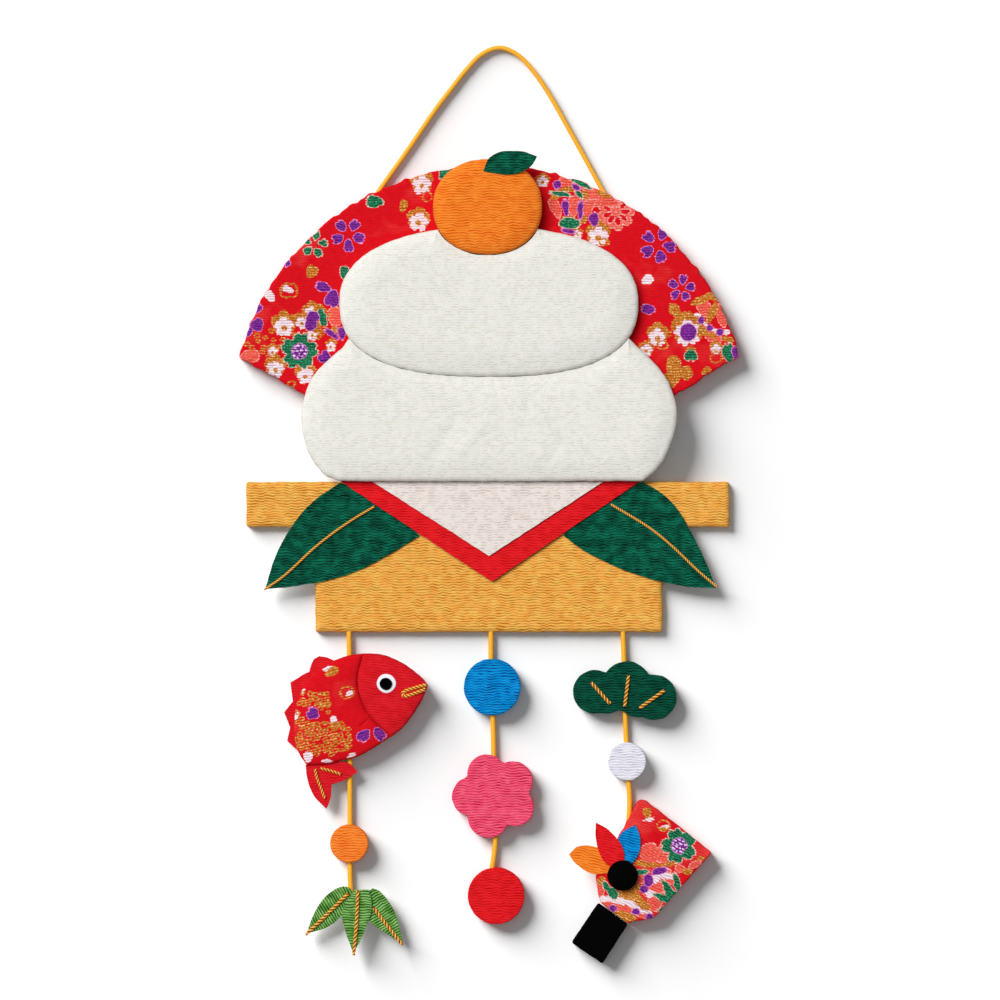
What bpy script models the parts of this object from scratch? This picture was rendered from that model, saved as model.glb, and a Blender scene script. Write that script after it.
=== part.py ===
"""Kagami mochi wall hanging: padded crepe panels, three strings of charms and a hanging loop.

The hanging lies on its back. Metres, +Z towards the shown side, +Y towards the loop.
The origin is under the middle of the hanging, on the plane that it lies on.
"""

import math

import bmesh
import bpy
from mathutils import Vector
from mathutils.geometry import interpolate_bezier

MM = 0.001
GAP = 0.3 * MM  # between two pieces that are glued together

# Heights of the layers above the plane that the hanging lies on.
CARD = 2.6 * MM  # covered card of the tray and the stand
FAN_FRONT = 4.1 * MM
LEAF_BACK = CARD + GAP
LEAF_FRONT = LEAF_BACK + 0.5 * MM
PAPER_BACK = LEAF_FRONT + GAP
PAPER_FRONT = PAPER_BACK + 0.4 * MM
WHITE_FRONT = PAPER_FRONT + GAP + 0.4 * MM
CAKE_BACK = PAPER_FRONT + GAP
LOWER_CAKE_FRONT = CAKE_BACK + 4.4 * MM
UPPER_CAKE_FRONT = CAKE_BACK + 6.2 * MM
MIKAN_FRONT = CAKE_BACK + 8.2 * MM
CHARM_FRONT = 3.6 * MM

# Cords. Each lies just above the plane and in a groove in the back of what it holds.
STRING_RADIUS = 0.85 * MM
LOOP_RADIUS = 0.75 * MM
CORD_CLEAR = 0.05 * MM  # under the cord
GROOVE_FRONT = CORD_CLEAR + 2 * STRING_RADIUS + GAP
TWIST_RADIUS = 0.55 * MM  # gold twisted cord

# Fan
FAN_CENTRE = (0.0, 44.0)
FAN_RADIUS = 86.5
FAN_HALF_ANGLE = math.radians(74.8)
FAN_CUT = (-25.0, 25.0, 36.0)  # left, right and height of its lower edge

# Rice cakes
UPPER_CENTRE = (-0.2, 85.0)
UPPER_HALF = (49.6, 24.9)
UPPER_POWER = 2.25  # of its upper half: 2 is an ellipse, more is squarer
UPPER_SAG = 2.55  # of its lower half
SEAT_ANGLE = math.radians(24)  # from level, where the lower cake's seat begins
MIKAN_CENTRE = (-0.6, 116.4)
MIKAN_HALF = (18.1, 15.8)
MIKAN_POWER = 2.15

# Tray and stand: left, right, top, bottom
TRAY = (-81.0, 79.8, 25.1, 10.1)
STAND = (-58.0, 57.6, 9.8, -24.9)

# Charms: centre and radius
BLUE_DISC = (0.9, -43.2, 9.4)
RED_DISC = (2.2, -112.7, 9.4)
SMALL_DISC = (-46.7, -95.3, 6.3)
WHITE_DISC = (45.8, -68.0, 6.3)
EYE = (-34.3, -41.9, 3.2)
PUPIL = (-34.5, -42.0, 2.05)
BALL = (44.2, -105.7, 5.1)

# Routes of the cords, in the plane.
LOOP_ROUTE = (
    (-40.4, 117.0), (-34.8, 125.1), (-27.2, 135.8), (-18.1, 149.1), (-12.0, 157.1),
    (-7.8, 162.4), (-2.6, 167.6), (3.2, 169.8), (9.0, 167.7), (14.3, 162.4), (19.8, 154.4),
    (25.8, 143.8), (31.8, 133.0), (36.2, 124.9), (40.4, 117.2),
)
LEFT_ROUTE = (
    (-46.8, -16.0), (-46.8, -24.9), (-46.7, -33.0), (-46.6, -50.0), (-46.5, -67.0),
    (-46.5, -78.0), (-46.5, -89.0), (-46.5, -95.3), (-46.5, -101.6), (-46.4, -108.0),
    (-46.0, -114.0),
)
CENTRE_ROUTE = (
    (0.5, -16.0), (0.5, -24.9), (0.5, -33.8), (0.8, -43.2), (1.1, -52.6), (1.3, -60.0),
    (1.4, -66.6), (1.9, -79.5), (2.0, -93.6), (1.6, -98.5), (0.9, -103.4), (0.6, -110.0),
)
RIGHT_ROUTE = (
    (44.5, -16.0), (44.5, -24.9), (44.8, -34.6), (45.0, -43.0), (45.2, -51.6),
    (45.6, -61.7), (45.9, -68.0), (46.3, -74.3), (46.7, -81.0), (46.4, -87.5),
    (45.8, -96.0),
)


# ---------------------------------------------------------------- outlines, in millimetres


def smooth_outline(points, corners=(), step=2.6):
    """Closed outline through the points, rounded at each but the corners, which are given by index."""
    count = len(points)
    outline = []
    for i in range(count):
        start = Vector(points[i])
        end = Vector(points[(i + 1) % count])
        reach = (end - start).length / 3
        leave = end - start if i in corners else end - Vector(points[i - 1])
        arrive = Vector(points[(i + 2) % count]) - start
        if (i + 1) % count in corners:
            arrive = end - start
        pieces = max(1, round(3 * reach / step))
        if i in corners and (i + 1) % count in corners:
            pieces = 1
        handles = (start + leave.normalized() * reach, end - arrive.normalized() * reach)
        outline += interpolate_bezier(start, *handles, end, pieces + 1)[:-1]
    return [(point.x, point.y) for point in outline]


def squared_ellipse(centre, half, power, count, first=0.0, last=2 * math.pi):
    """Points round an ellipse that is a little squarer than a true one."""
    closed = abs(last - first - 2 * math.pi) < 1e-6
    steps = count if closed else count - 1
    points = []
    for i in range(count):
        angle = first + (last - first) * i / steps
        across = math.cos(angle)
        up = math.sin(angle)
        x = half[0] * math.copysign(abs(across) ** (2 / power), across)
        y = half[1] * math.copysign(abs(up) ** (2 / power), up)
        points.append((centre[0] + x, centre[1] + y))
    return points


def circle_outline(disc, count):
    x, y, radius = disc
    return squared_ellipse((x, y), (radius, radius), 2, count)


def lobed_outline(centre, lobes, count):
    """Outline of overlapping round lobes (x, y, radius), seen from a centre inside them all."""
    points = []
    for i in range(count):
        angle = 2 * math.pi * i / count
        ray = Vector((math.cos(angle), math.sin(angle)))
        reach = 0.0
        for x, y, radius in lobes:
            to_lobe = Vector((x - centre[0], y - centre[1]))
            aside = to_lobe.length_squared - to_lobe.dot(ray) ** 2
            if aside < radius**2:
                reach = max(reach, to_lobe.dot(ray) + math.sqrt(radius**2 - aside))
        points.append((centre[0] + reach * ray.x, centre[1] + reach * ray.y))
    return points


def box_outline(left, right, top, bottom):
    return [(left, bottom), (right, bottom), (right, top), (left, top)]


def fan_outline():
    arc = []
    steps = 56
    for i in range(steps + 1):
        angle = math.pi / 2 - FAN_HALF_ANGLE + 2 * FAN_HALF_ANGLE * i / steps
        x = FAN_CENTRE[0] + FAN_RADIUS * math.cos(angle)
        arc.append((x, FAN_CENTRE[1] + FAN_RADIUS * math.sin(angle)))
    left, right, height = FAN_CUT
    return arc + [(left, height), (right, height)]


def upper_cake_outline():
    """Oval that has settled a little, so that its lower half is squarer than its upper half."""
    top = squared_ellipse(UPPER_CENTRE, UPPER_HALF, UPPER_POWER, 39, 0, math.pi)
    bottom = squared_ellipse(UPPER_CENTRE, UPPER_HALF, UPPER_SAG, 39, math.pi, 2 * math.pi)
    return top[:-1] + bottom[:-1]


def lower_cake_outline():
    """Round sides and a flat foot, under the lower half of the upper cake."""
    gap = GAP / MM
    grown = (UPPER_HALF[0] + gap, UPPER_HALF[1] + gap)
    first = math.pi + SEAT_ANGLE
    last = 2 * math.pi - SEAT_ANGLE
    seat = squared_ellipse(UPPER_CENTRE, grown, UPPER_SAG, 36, first, last)
    right = [
        (48.8, 70.2), (53.9, 65.3), (58.7, 59.3), (61.7, 51.6), (62.1, 46.0),
        (60.6, 39.4), (57.5, 32.3), (54.2, 28.1),
    ]
    foot = [(51.0, 25.6), (-49.4, 25.6)]
    left = [
        (-54.4, 27.5), (-58.3, 31.9), (-61.1, 37.7), (-62.3, 44.6), (-61.7, 51.9),
        (-58.9, 59.5), (-52.9, 66.1), (-48.7, 69.6),
    ]
    sides = [seat[-1]] + right + foot + left + [seat[0]]
    corners = (0, len(right) + 1, len(right) + 2, len(sides) - 1)
    outline = smooth_outline(sides, corners, 3.2)
    # The outline closes with one straight stretch from the last side point, where the seat goes.
    return outline[:-1] + seat[:-1]


# ---------------------------------------------------------------- solids


def finish(name, colour, roughness):
    """Principled material shared by all pieces of one cloth."""
    made = bpy.data.materials.get(name)
    if made:
        return made
    made = bpy.data.materials.new(name)
    made.use_nodes = True
    shader = made.node_tree.nodes["Principled BSDF"]
    shader.inputs["Base Color"].default_value = (*colour, 1)
    shader.inputs["Roughness"].default_value = roughness
    shader.inputs["Metallic"].default_value = 0.0
    made.diffuse_color = (*colour, 1)
    return made


WHITE_CREPE = finish("white_crepe", (0.81, 0.81, 0.76), 0.9)
PRINT_CREPE = finish("floral_crepe", (0.70, 0.02, 0.03), 0.85)
ORANGE_CREPE = finish("orange_crepe", (0.94, 0.24, 0.03), 0.85)
GREEN_CREPE = finish("green_crepe", (0.0, 0.12, 0.08), 0.85)
BAMBOO_CREPE = finish("bamboo_crepe", (0.07, 0.32, 0.05), 0.85)
GOLD_CREPE = finish("gold_crepe", (0.75, 0.38, 0.07), 0.85)
RED_CREPE = finish("red_crepe", (0.75, 0.01, 0.02), 0.85)
BLUE_CREPE = finish("blue_crepe", (0.0, 0.22, 0.6), 0.85)
PINK_CREPE = finish("pink_crepe", (0.83, 0.07, 0.22), 0.85)
PAPER_CREPE = finish("pale_crepe", (0.8, 0.72, 0.7), 0.9)
BLACK_VELVET = finish("black_velvet", (0.01, 0.008, 0.008), 0.95)
WHITE_FELT = finish("white_felt", (0.85, 0.85, 0.88), 0.95)
YELLOW_CORD = finish("yellow_cord", (1.0, 0.48, 0.03), 0.5)
GOLD_CORD = finish("gold_cord", (0.7, 0.3, 0.04), 0.45)


def add_mesh(name, mesh, material):
    bmesh.ops.recalc_face_normals(mesh, faces=mesh.faces)
    data = bpy.data.meshes.new(name)
    mesh.to_mesh(data)
    mesh.free()
    data.materials.append(material)
    data.shade_smooth()
    data.set_sharp_from_angle(angle=math.radians(50))
    made = bpy.data.objects.new(name, data)
    bpy.context.scene.collection.objects.link(made)
    return made


def panel(name, outline, back, front, rounding, material, segments=2):
    """Padded panel: an outline in millimetres, from back to front, with a rounded front rim."""
    mesh = bmesh.new()
    rim = [mesh.verts.new((x * MM, y * MM, back)) for x, y in outline]
    face = mesh.faces.new(rim)
    raised = bmesh.ops.extrude_face_region(mesh, geom=[face])["geom"]
    top = [item for item in raised if isinstance(item, bmesh.types.BMVert)]
    bmesh.ops.translate(mesh, verts=top, vec=(0, 0, front - back))
    if rounding:
        front_face = next(item for item in raised if isinstance(item, bmesh.types.BMFace))
        bmesh.ops.bevel(
            mesh,
            geom=list(front_face.edges),
            offset=rounding * MM,
            segments=segments,
            profile=0.5,
            affect="EDGES",
            clamp_overlap=True,
        )
    return add_mesh(name, mesh, material)


def cut_groove(piece, route, radius):
    """Cuts the channel that a cord lies in into the back of a piece, along a stretch of its route."""
    mesh = bmesh.new()
    half = (radius + GAP) / MM
    points = [Vector(point) for point in route]
    left = []
    right = []
    for i, point in enumerate(points):
        along = points[min(i + 1, len(points) - 1)] - points[max(i - 1, 0)]
        aside = Vector((-along.y, along.x)).normalized() * half
        left.append(point + aside)
        right.append(point - aside)
    corners = [mesh.verts.new((p.x * MM, p.y * MM, -1 * MM)) for p in right + left[::-1]]
    face = mesh.faces.new(corners)
    raised = bmesh.ops.extrude_face_region(mesh, geom=[face])["geom"]
    top = [item for item in raised if isinstance(item, bmesh.types.BMVert)]
    bmesh.ops.translate(mesh, verts=top, vec=(0, 0, GROOVE_FRONT + 1 * MM))
    cutter = add_mesh(piece.name + "_groove", mesh, piece.data.materials[0])
    cutter.hide_render = True
    cutter.display_type = "WIRE"
    groove = piece.modifiers.new(cutter.name, "BOOLEAN")
    groove.operation = "DIFFERENCE"
    groove.object = cutter


def spaced_route(points, spacing):
    """Evenly spaced points along the smooth curve through a route's own points."""
    fine = []
    for i in range(len(points) - 1):
        before = Vector(points[max(i - 1, 0)])
        start = Vector(points[i])
        end = Vector(points[i + 1])
        after = Vector(points[min(i + 2, len(points) - 1)])
        reach = (end - start).length / 3
        leave = (end - before).normalized() * reach
        arrive = (after - start).normalized() * reach
        fine += interpolate_bezier(start, start + leave, end - arrive, end, 17)[:-1]
    fine.append(Vector(points[-1]))
    along = [0.0]
    for i in range(1, len(fine)):
        along.append(along[-1] + (fine[i] - fine[i - 1]).length)
    count = max(2, round(along[-1] / spacing) + 1)
    route = []
    for i in range(count):
        target = along[-1] * i / (count - 1)
        k = max(1, next(j for j, reached in enumerate(along) if reached >= target - 1e-9))
        share = (target - along[k - 1]) / (along[k] - along[k - 1])
        route.append(fine[k - 1].lerp(fine[k], share))
    return route


def tube(name, route, height, radius, spacing, material):
    """Cord along a route in the plane, in millimetres, at one height."""
    data = bpy.data.curves.new(name, "CURVE")
    data.dimensions = "3D"
    data.bevel_depth = radius
    data.bevel_resolution = 2
    data.use_fill_caps = True
    points = spaced_route(route, spacing)
    spline = data.splines.new("POLY")
    spline.points.add(len(points) - 1)
    for point, place in zip(spline.points, points):
        point.co = (place.x * MM, place.y * MM, height, 1)
    data.materials.append(material)
    made = bpy.data.objects.new(name, data)
    bpy.context.scene.collection.objects.link(made)
    return made


def cut_string_groove(piece, route):
    """Groove for a string that runs down behind a piece, or ends behind it."""
    heights = [vertex.co.y / MM for vertex in piece.data.vertices]
    past = 1.0
    inside = [p for p in spaced_route(route, 1.0) if min(heights) - past < p.y < max(heights) + past]
    middle = inside[len(inside) // 2]
    low = inside[-1] - Vector((0, GAP / MM))
    cut_groove(piece, [inside[0], middle, low], STRING_RADIUS)


# ---------------------------------------------------------------- the kagami mochi and its stand


def add_fan():
    fan = panel("fan", fan_outline(), 0, FAN_FRONT, 0.9, PRINT_CREPE)
    start, past_rim = Vector(LOOP_ROUTE[0]), Vector(LOOP_ROUTE[2])
    cut_groove(fan, [start - (past_rim - start).normalized() * 0.5, past_rim], LOOP_RADIUS)
    end, past_rim = Vector(LOOP_ROUTE[-1]), Vector(LOOP_ROUTE[-3])
    cut_groove(fan, [end - (past_rim - end).normalized() * 0.5, past_rim], LOOP_RADIUS)


def add_cakes():
    upper = upper_cake_outline()
    cake = panel("upper_mochi", upper, CAKE_BACK, UPPER_CAKE_FRONT, 2.4, WHITE_CREPE, 3)
    around_mikan = (MIKAN_HALF[0] + GAP / MM, MIKAN_HALF[1] + GAP / MM)
    seat = squared_ellipse(MIKAN_CENTRE, around_mikan, MIKAN_POWER, 44)
    cutter = panel("mikan_seat", seat, CAKE_BACK - 1 * MM, MIKAN_FRONT + 1 * MM, 0, WHITE_CREPE)
    cutter.hide_render = True
    cutter.display_type = "WIRE"
    notch = cake.modifiers.new("mikan_seat", "BOOLEAN")
    notch.operation = "DIFFERENCE"
    notch.object = cutter
    lower = lower_cake_outline()
    panel("lower_mochi", lower, CAKE_BACK, LOWER_CAKE_FRONT, 2.2, WHITE_CREPE, 3)


def add_mikan():
    skin = squared_ellipse(MIKAN_CENTRE, MIKAN_HALF, MIKAN_POWER, 44)
    panel("mikan", skin, CAKE_BACK, MIKAN_FRONT, 2.2, ORANGE_CREPE, 3)
    leaf = [
        (-1.9, 128.3), (-0.5, 131.9), (2.2, 134.0), (6.0, 134.8), (10.6, 134.7), (15.8, 133.1),
        (14.0, 130.0), (10.8, 127.9), (6.2, 127.1), (1.8, 127.4),
    ]
    back = MIKAN_FRONT + GAP
    panel("mikan_leaf", smooth_outline(leaf, (0, 5), 1.8), back, back + 0.6 * MM, 0, GREEN_CREPE)


def add_stand():
    panel("tray", box_outline(*TRAY), 0, CARD, 0.5, GOLD_CREPE)
    stand = panel("stand", box_outline(*STAND), 0, CARD, 0.5, GOLD_CREPE)
    for route in (LEFT_ROUTE, CENTRE_ROUTE, RIGHT_ROUTE):
        start = Vector(route[0])
        cut_groove(stand, [start + Vector((0, 0.5)), Vector((start.x, STAND[3] - 2))], STRING_RADIUS)


def add_leaves():
    left = [
        (-74.6, -10.5), (-72.6, -3.4), (-69.4, 4.2), (-64.8, 11.8), (-58.6, 18.7), (-49.8, 24.8),
        (-36.0, 21.0), (-23.4, 7.2), (-33.6, 0.8), (-44.2, -4.5), (-54.8, -7.8), (-66.5, -9.8),
    ]
    right = [
        (75.5, -10.2), (72.0, -1.6), (67.6, 7.4), (63.0, 15.4), (57.6, 21.2), (51.1, 25.0),
        (36.0, 21.0), (24.7, 7.3), (31.4, 2.3), (41.5, -2.8), (53.6, -7.2), (65.8, -9.7),
    ]
    for name, points in (("leaf_left", left), ("leaf_right", right)):
        outline = smooth_outline(points, (0, 5, 7), 3.4)
        panel(name, outline, LEAF_BACK, LEAF_FRONT, 0, GREEN_CREPE)
    left_vein = [
        (-75.0, -10.8), (-68.2, -6.0), (-58.8, 2.7), (-52.2, 8.0), (-45.2, 12.8), (-38.2, 17.0),
    ]
    right_vein = [
        (75.8, -9.9), (69.2, -4.3), (63.5, 1.2), (57.7, 6.4), (51.8, 10.8), (40.3, 17.7),
    ]
    height = LEAF_FRONT + GAP + TWIST_RADIUS
    tube("leaf_vein_left", left_vein, height, TWIST_RADIUS, 5, GOLD_CORD)
    tube("leaf_vein_right", right_vein, height, TWIST_RADIUS, 5, GOLD_CORD)


def add_paper():
    """Red paper folded to a point, with a tab under the lower cake, and a smaller white one on it."""
    red = [(-49.6, 25.3), (0.8, -8.1), (50.0, 25.3), (50.0, 31.0), (-49.6, 31.0)]
    panel("paper_red", red, PAPER_BACK, PAPER_FRONT, 0, RED_CREPE)
    white = [(-39.0, 25.2), (-0.1, 0.5), (37.9, 25.2)]
    panel("paper_white", white, PAPER_FRONT + GAP, WHITE_FRONT, 0, PAPER_CREPE)


# ---------------------------------------------------------------- the sea bream


def add_bream():
    back = 1.0 * MM
    front = 4.8 * MM
    gill = [
        (-42.0, -32.2), (-42.9, -35.6), (-43.9, -40.9), (-43.2, -45.4), (-41.8, -49.2),
        (-39.8, -52.6), (-37.0, -55.8), (-32.8, -59.6),
    ]
    head = gill + [
        (-29.2, -56.8), (-24.6, -50.8), (-21.8, -45.8), (-20.6, -42.7), (-22.2, -40.6),
        (-25.8, -37.6), (-30.6, -34.5), (-36.2, -32.5),
    ]
    panel("bream_head", smooth_outline(head, (0, 7, 11)), back, front, 1.2, RED_CREPE)
    behind = [(x - 0.32, y - 0.1) for x, y in gill]
    body = behind[::-1] + [
        (-46.8, -32.8), (-51.8, -34.6), (-56.4, -37.2), (-60.4, -40.8), (-63.2, -46.0),
        (-64.7, -52.6), (-64.8, -58.8), (-63.6, -64.4), (-60.8, -69.1), (-54.8, -68.6),
        (-48.7, -67.4), (-42.5, -65.6),
    ]
    body = panel("bream_body", smooth_outline(body, (0, 7, 16)), back, front, 1.2, PRINT_CREPE)
    cut_string_groove(body, LEFT_ROUTE)
    fin = [
        (-49.6, -33.7), (-51.9, -34.6), (-54.2, -33.6), (-56.7, -33.1), (-58.4, -34.0),
        (-60.0, -38.2), (-66.2, -41.8), (-65.3, -48.1), (-68.2, -51.7), (-66.2, -56.6),
        (-67.2, -61.1), (-64.0, -64.0), (-60.4, -64.0), (-61.6, -54.0), (-59.6, -46.0),
        (-55.0, -39.6),
    ]
    corners = (0, 1, 3, 5, 6, 7, 8, 9, 10, 11, 12)
    panel("bream_fin", smooth_outline(fin, corners), 0, 0.7 * MM, 0, RED_CREPE)
    tail = [
        (-60.9, -69.5), (-60.3, -74.0), (-58.2, -79.2), (-54.4, -83.2), (-53.2, -80.0),
        (-52.9, -75.4), (-48.6, -73.9), (-44.4, -71.4), (-46.8, -69.0), (-50.6, -68.3),
        (-55.6, -69.1),
    ]
    tail_back = GROOVE_FRONT + 0.05 * MM
    tail_front = tail_back + 0.7 * MM
    panel("bream_tail", smooth_outline(tail, (0, 3, 5, 7), 2.0), tail_back, tail_front, 0, RED_CREPE)
    eye_back = front + GAP
    panel("bream_eye", circle_outline(EYE, 20), eye_back, eye_back + 0.6 * MM, 0, WHITE_FELT)
    pupil_back = eye_back + 0.6 * MM + GAP
    pupil_front = pupil_back + 0.5 * MM
    panel("bream_pupil", circle_outline(PUPIL, 16), pupil_back, pupil_front, 0.2, BLACK_VELVET)
    mouth = [
        (-20.9, -42.3), (-24.6, -43.3), (-28.3, -44.6), (-28.9, -45.6), (-28.1, -46.2),
        (-24.4, -45.0), (-21.2, -43.7),
    ]
    tube("bream_mouth", mouth, front + GAP + TWIST_RADIUS, TWIST_RADIUS, 1.3, GOLD_CORD)
    veins = (
        ("bream_tail_vein_outer", [(-58.1, -70.3), (-57.4, -73.4), (-56.0, -77.0), (-54.8, -80.3)]),
        ("bream_tail_vein_inner", [(-56.4, -70.2), (-53.0, -71.0), (-49.4, -72.2)]),
    )
    for name, route in veins:
        tube(name, route, tail_front + GAP + TWIST_RADIUS, TWIST_RADIUS, 2.6, GOLD_CORD)


# ---------------------------------------------------------------- the other charms


def add_disc(name, disc, route, material):
    made = panel(name, circle_outline(disc, 28), 0, CHARM_FRONT, 0.6, material)
    cut_string_groove(made, route)


def add_bamboo():
    back = GROOVE_FRONT + 0.05 * MM
    front = back + 0.8 * MM
    over = front + GAP
    left = [
        (-60.9, -125.3), (-59.5, -121.0), (-57.5, -116.9), (-55.2, -113.6), (-52.0, -110.9),
        (-49.2, -109.6), (-47.2, -109.6), (-45.7, -111.0), (-46.4, -115.0), (-49.2, -119.4),
        (-54.3, -123.3),
    ]
    right = [
        (-28.8, -128.8), (-30.2, -122.2), (-31.8, -117.4), (-34.2, -113.7), (-36.6, -111.1),
        (-38.8, -110.2), (-40.5, -111.2), (-41.6, -116.0), (-39.6, -121.4), (-34.6, -125.0),
    ]
    middle = [
        (-45.3, -132.2), (-47.4, -126.0), (-48.9, -120.9), (-48.9, -117.6), (-47.2, -114.0),
        (-45.0, -110.8), (-40.3, -110.6), (-39.3, -114.0), (-39.4, -118.0), (-41.4, -123.9),
    ]
    over_front = over + 0.8 * MM
    panel("bamboo_left", smooth_outline(left, (0,), 2.0), back, front, 0, BAMBOO_CREPE)
    panel("bamboo_right", smooth_outline(right, (0,), 2.0), back, front, 0, BAMBOO_CREPE)
    panel("bamboo_middle", smooth_outline(middle, (0, 5, 6), 2.0), over, over_front, 0, BAMBOO_CREPE)
    left_vein = [(-61.2, -125.6), (-56.2, -120.9), (-51.4, -116.2), (-46.9, -111.8)]
    right_vein = [(-29.0, -129.0), (-34.0, -122.6), (-38.6, -116.6)]
    middle_vein = [(-45.2, -132.4), (-44.2, -121.0), (-43.8, -110.8)]
    veins = (
        ("bamboo_vein_left", left_vein, front),
        ("bamboo_vein_right", right_vein, front),
        ("bamboo_vein_middle", middle_vein, over_front),
    )
    for name, route, leaf_front in veins:
        tube(name, route, leaf_front + GAP + TWIST_RADIUS, TWIST_RADIUS, 3, GOLD_CORD)


def add_plum():
    petals = (
        (-1.0, -72.1, 6.4), (7.8, -74.6, 6.6), (8.4, -83.2, 6.4), (-0.3, -86.6, 6.8),
        (-6.0, -79.6, 6.5),
    )
    outline = lobed_outline((1.6, -79.2), petals, 60)
    flower = panel("plum_flower", outline, 0, CHARM_FRONT, 0.5, PINK_CREPE)
    cut_string_groove(flower, CENTRE_ROUTE)


def add_pine():
    lobes = (
        (35.1, -44.8, 7.2), (39.0, -45.2, 6.8), (45.8, -43.0, 8.3), (49.8, -46.0, 7.3),
        (54.8, -46.6, 7.5),
    )
    front = CHARM_FRONT
    pine = panel("pine", lobed_outline((45.6, -45.2), lobes, 64), 0, front, 0.4, GREEN_CREPE)
    cut_string_groove(pine, RIGHT_ROUTE)
    needles = (
        ("pine_needle_left", [(33.8, -41.6), (40.2, -48.8)]),
        ("pine_needle_middle", [(46.3, -39.2), (45.0, -49.7)]),
        ("pine_needle_right", [(58.3, -44.2), (49.9, -50.2)]),
    )
    for name, route in needles:
        tube(name, route, front + GAP + TWIST_RADIUS, TWIST_RADIUS, 3, GOLD_CORD)


def add_battledore():
    """Battledore bat with a velvet handle, and its shuttle of three feathers and a black ball."""
    front = 4.4 * MM
    bat = [
        (49.8, -80.7), (51.9, -80.9), (74.2, -98.4), (64.2, -109.2), (55.0, -119.6), (52.2, -120.6),
        (48.0, -121.1), (46.0, -121.9), (36.8, -114.9), (36.0, -110.6), (35.6, -105.0),
        (41.6, -95.4), (46.0, -87.6),
    ]
    body = panel("battledore", smooth_outline(bat, (1, 2, 7, 8)), 0, front, 0.8, PRINT_CREPE)
    cut_string_groove(body, RIGHT_ROUTE)
    handle = [(36.3, -115.4), (45.6, -122.3), (37.5, -134.9), (27.7, -128.2)]
    panel("battledore_handle", handle, 0, 3.9 * MM, 0.7, BLACK_VELVET)
    feather_orange = [
        (26.5, -98.9), (29.2, -96.2), (32.0, -95.7), (35.6, -96.4), (41.0, -99.4), (44.2, -105.0),
        (38.8, -105.1), (34.6, -105.3), (31.6, -104.0), (28.6, -101.7),
    ]
    feather_red = [
        (35.4, -88.2), (38.8, -90.0), (41.9, -92.9), (44.0, -96.0), (44.9, -101.0), (44.2, -105.7),
        (39.6, -102.3), (37.2, -99.6), (35.8, -95.8), (35.2, -92.0),
    ]
    feather_blue = [
        (48.5, -88.9), (49.8, -92.0), (50.2, -95.9), (49.2, -99.2), (44.2, -105.7), (43.4, -99.6),
        (43.2, -92.6),
    ]
    low = front + GAP
    step = 0.4 * MM + GAP
    feathers = (
        ("feather_orange", feather_orange, (0, 5), low, ORANGE_CREPE),
        ("feather_blue", feather_blue, (0, 4), low + step, BLUE_CREPE),
        ("feather_red", feather_red, (0, 5), low + 2 * step, RED_CREPE),
    )
    for name, points, corners, back, material in feathers:
        panel(name, smooth_outline(points, corners, 2.0), back, back + 0.4 * MM, 0, material)
    ball_back = low + 3 * step
    ball_front = ball_back + 3.4 * MM
    panel("shuttle_ball", circle_outline(BALL, 28), ball_back, ball_front, 2.9, BLACK_VELVET, 5)


def add_cords():
    height = CORD_CLEAR + STRING_RADIUS
    tube("hanging_loop", LOOP_ROUTE, CORD_CLEAR + LOOP_RADIUS, LOOP_RADIUS, 4.2, YELLOW_CORD)
    tube("string_left", LEFT_ROUTE, height, STRING_RADIUS, 4.8, YELLOW_CORD)
    tube("string_centre", CENTRE_ROUTE, height, STRING_RADIUS, 4.8, YELLOW_CORD)
    tube("string_right", RIGHT_ROUTE, height, STRING_RADIUS, 4.8, YELLOW_CORD)


def main():
    for old in list(bpy.data.objects):
        bpy.data.objects.remove(old)
    add_fan()
    add_cakes()
    add_mikan()
    add_stand()
    add_leaves()
    add_paper()
    add_cords()
    add_bream()
    add_disc("small_disc", SMALL_DISC, LEFT_ROUTE, ORANGE_CREPE)
    add_bamboo()
    add_disc("blue_disc", BLUE_DISC, CENTRE_ROUTE, BLUE_CREPE)
    add_plum()
    add_disc("red_disc", RED_DISC, CENTRE_ROUTE, RED_CREPE)
    add_pine()
    add_disc("white_disc", WHITE_DISC, RIGHT_ROUTE, WHITE_FELT)
    add_battledore()


main()
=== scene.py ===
"""Looks of the kagami mochi wall hanging: crinkled crepe over wadding and card, cords and charms.

Lengths are in millimetres, and MM turns them into Blender's metres. The hanging lies on its back,
with +Y towards its loop and +Z out of its shown side.
"""

import math
from dataclasses import dataclass, replace

import bmesh
import bpy
import numpy as np
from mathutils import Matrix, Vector
from mathutils.bvhtree import BVHTree
from mathutils.geometry import delaunay_2d_cdt, interpolate_bezier
from mathutils.kdtree import KDTree


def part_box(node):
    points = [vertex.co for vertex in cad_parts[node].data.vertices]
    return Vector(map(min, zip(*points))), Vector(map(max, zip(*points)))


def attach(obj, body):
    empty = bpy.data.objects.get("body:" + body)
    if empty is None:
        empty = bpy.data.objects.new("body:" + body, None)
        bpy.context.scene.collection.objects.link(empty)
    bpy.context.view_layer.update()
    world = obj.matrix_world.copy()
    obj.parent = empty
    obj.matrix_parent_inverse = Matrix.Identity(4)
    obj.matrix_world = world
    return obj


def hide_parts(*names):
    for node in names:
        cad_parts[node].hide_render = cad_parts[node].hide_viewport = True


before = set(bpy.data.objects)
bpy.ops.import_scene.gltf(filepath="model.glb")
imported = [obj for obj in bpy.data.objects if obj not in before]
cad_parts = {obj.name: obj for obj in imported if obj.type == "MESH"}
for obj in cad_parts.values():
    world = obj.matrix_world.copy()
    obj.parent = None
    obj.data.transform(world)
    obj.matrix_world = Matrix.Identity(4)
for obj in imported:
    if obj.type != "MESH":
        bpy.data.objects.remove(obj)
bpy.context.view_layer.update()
MM = 0.001

# ---------------------------------------------------------------- camera

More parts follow.
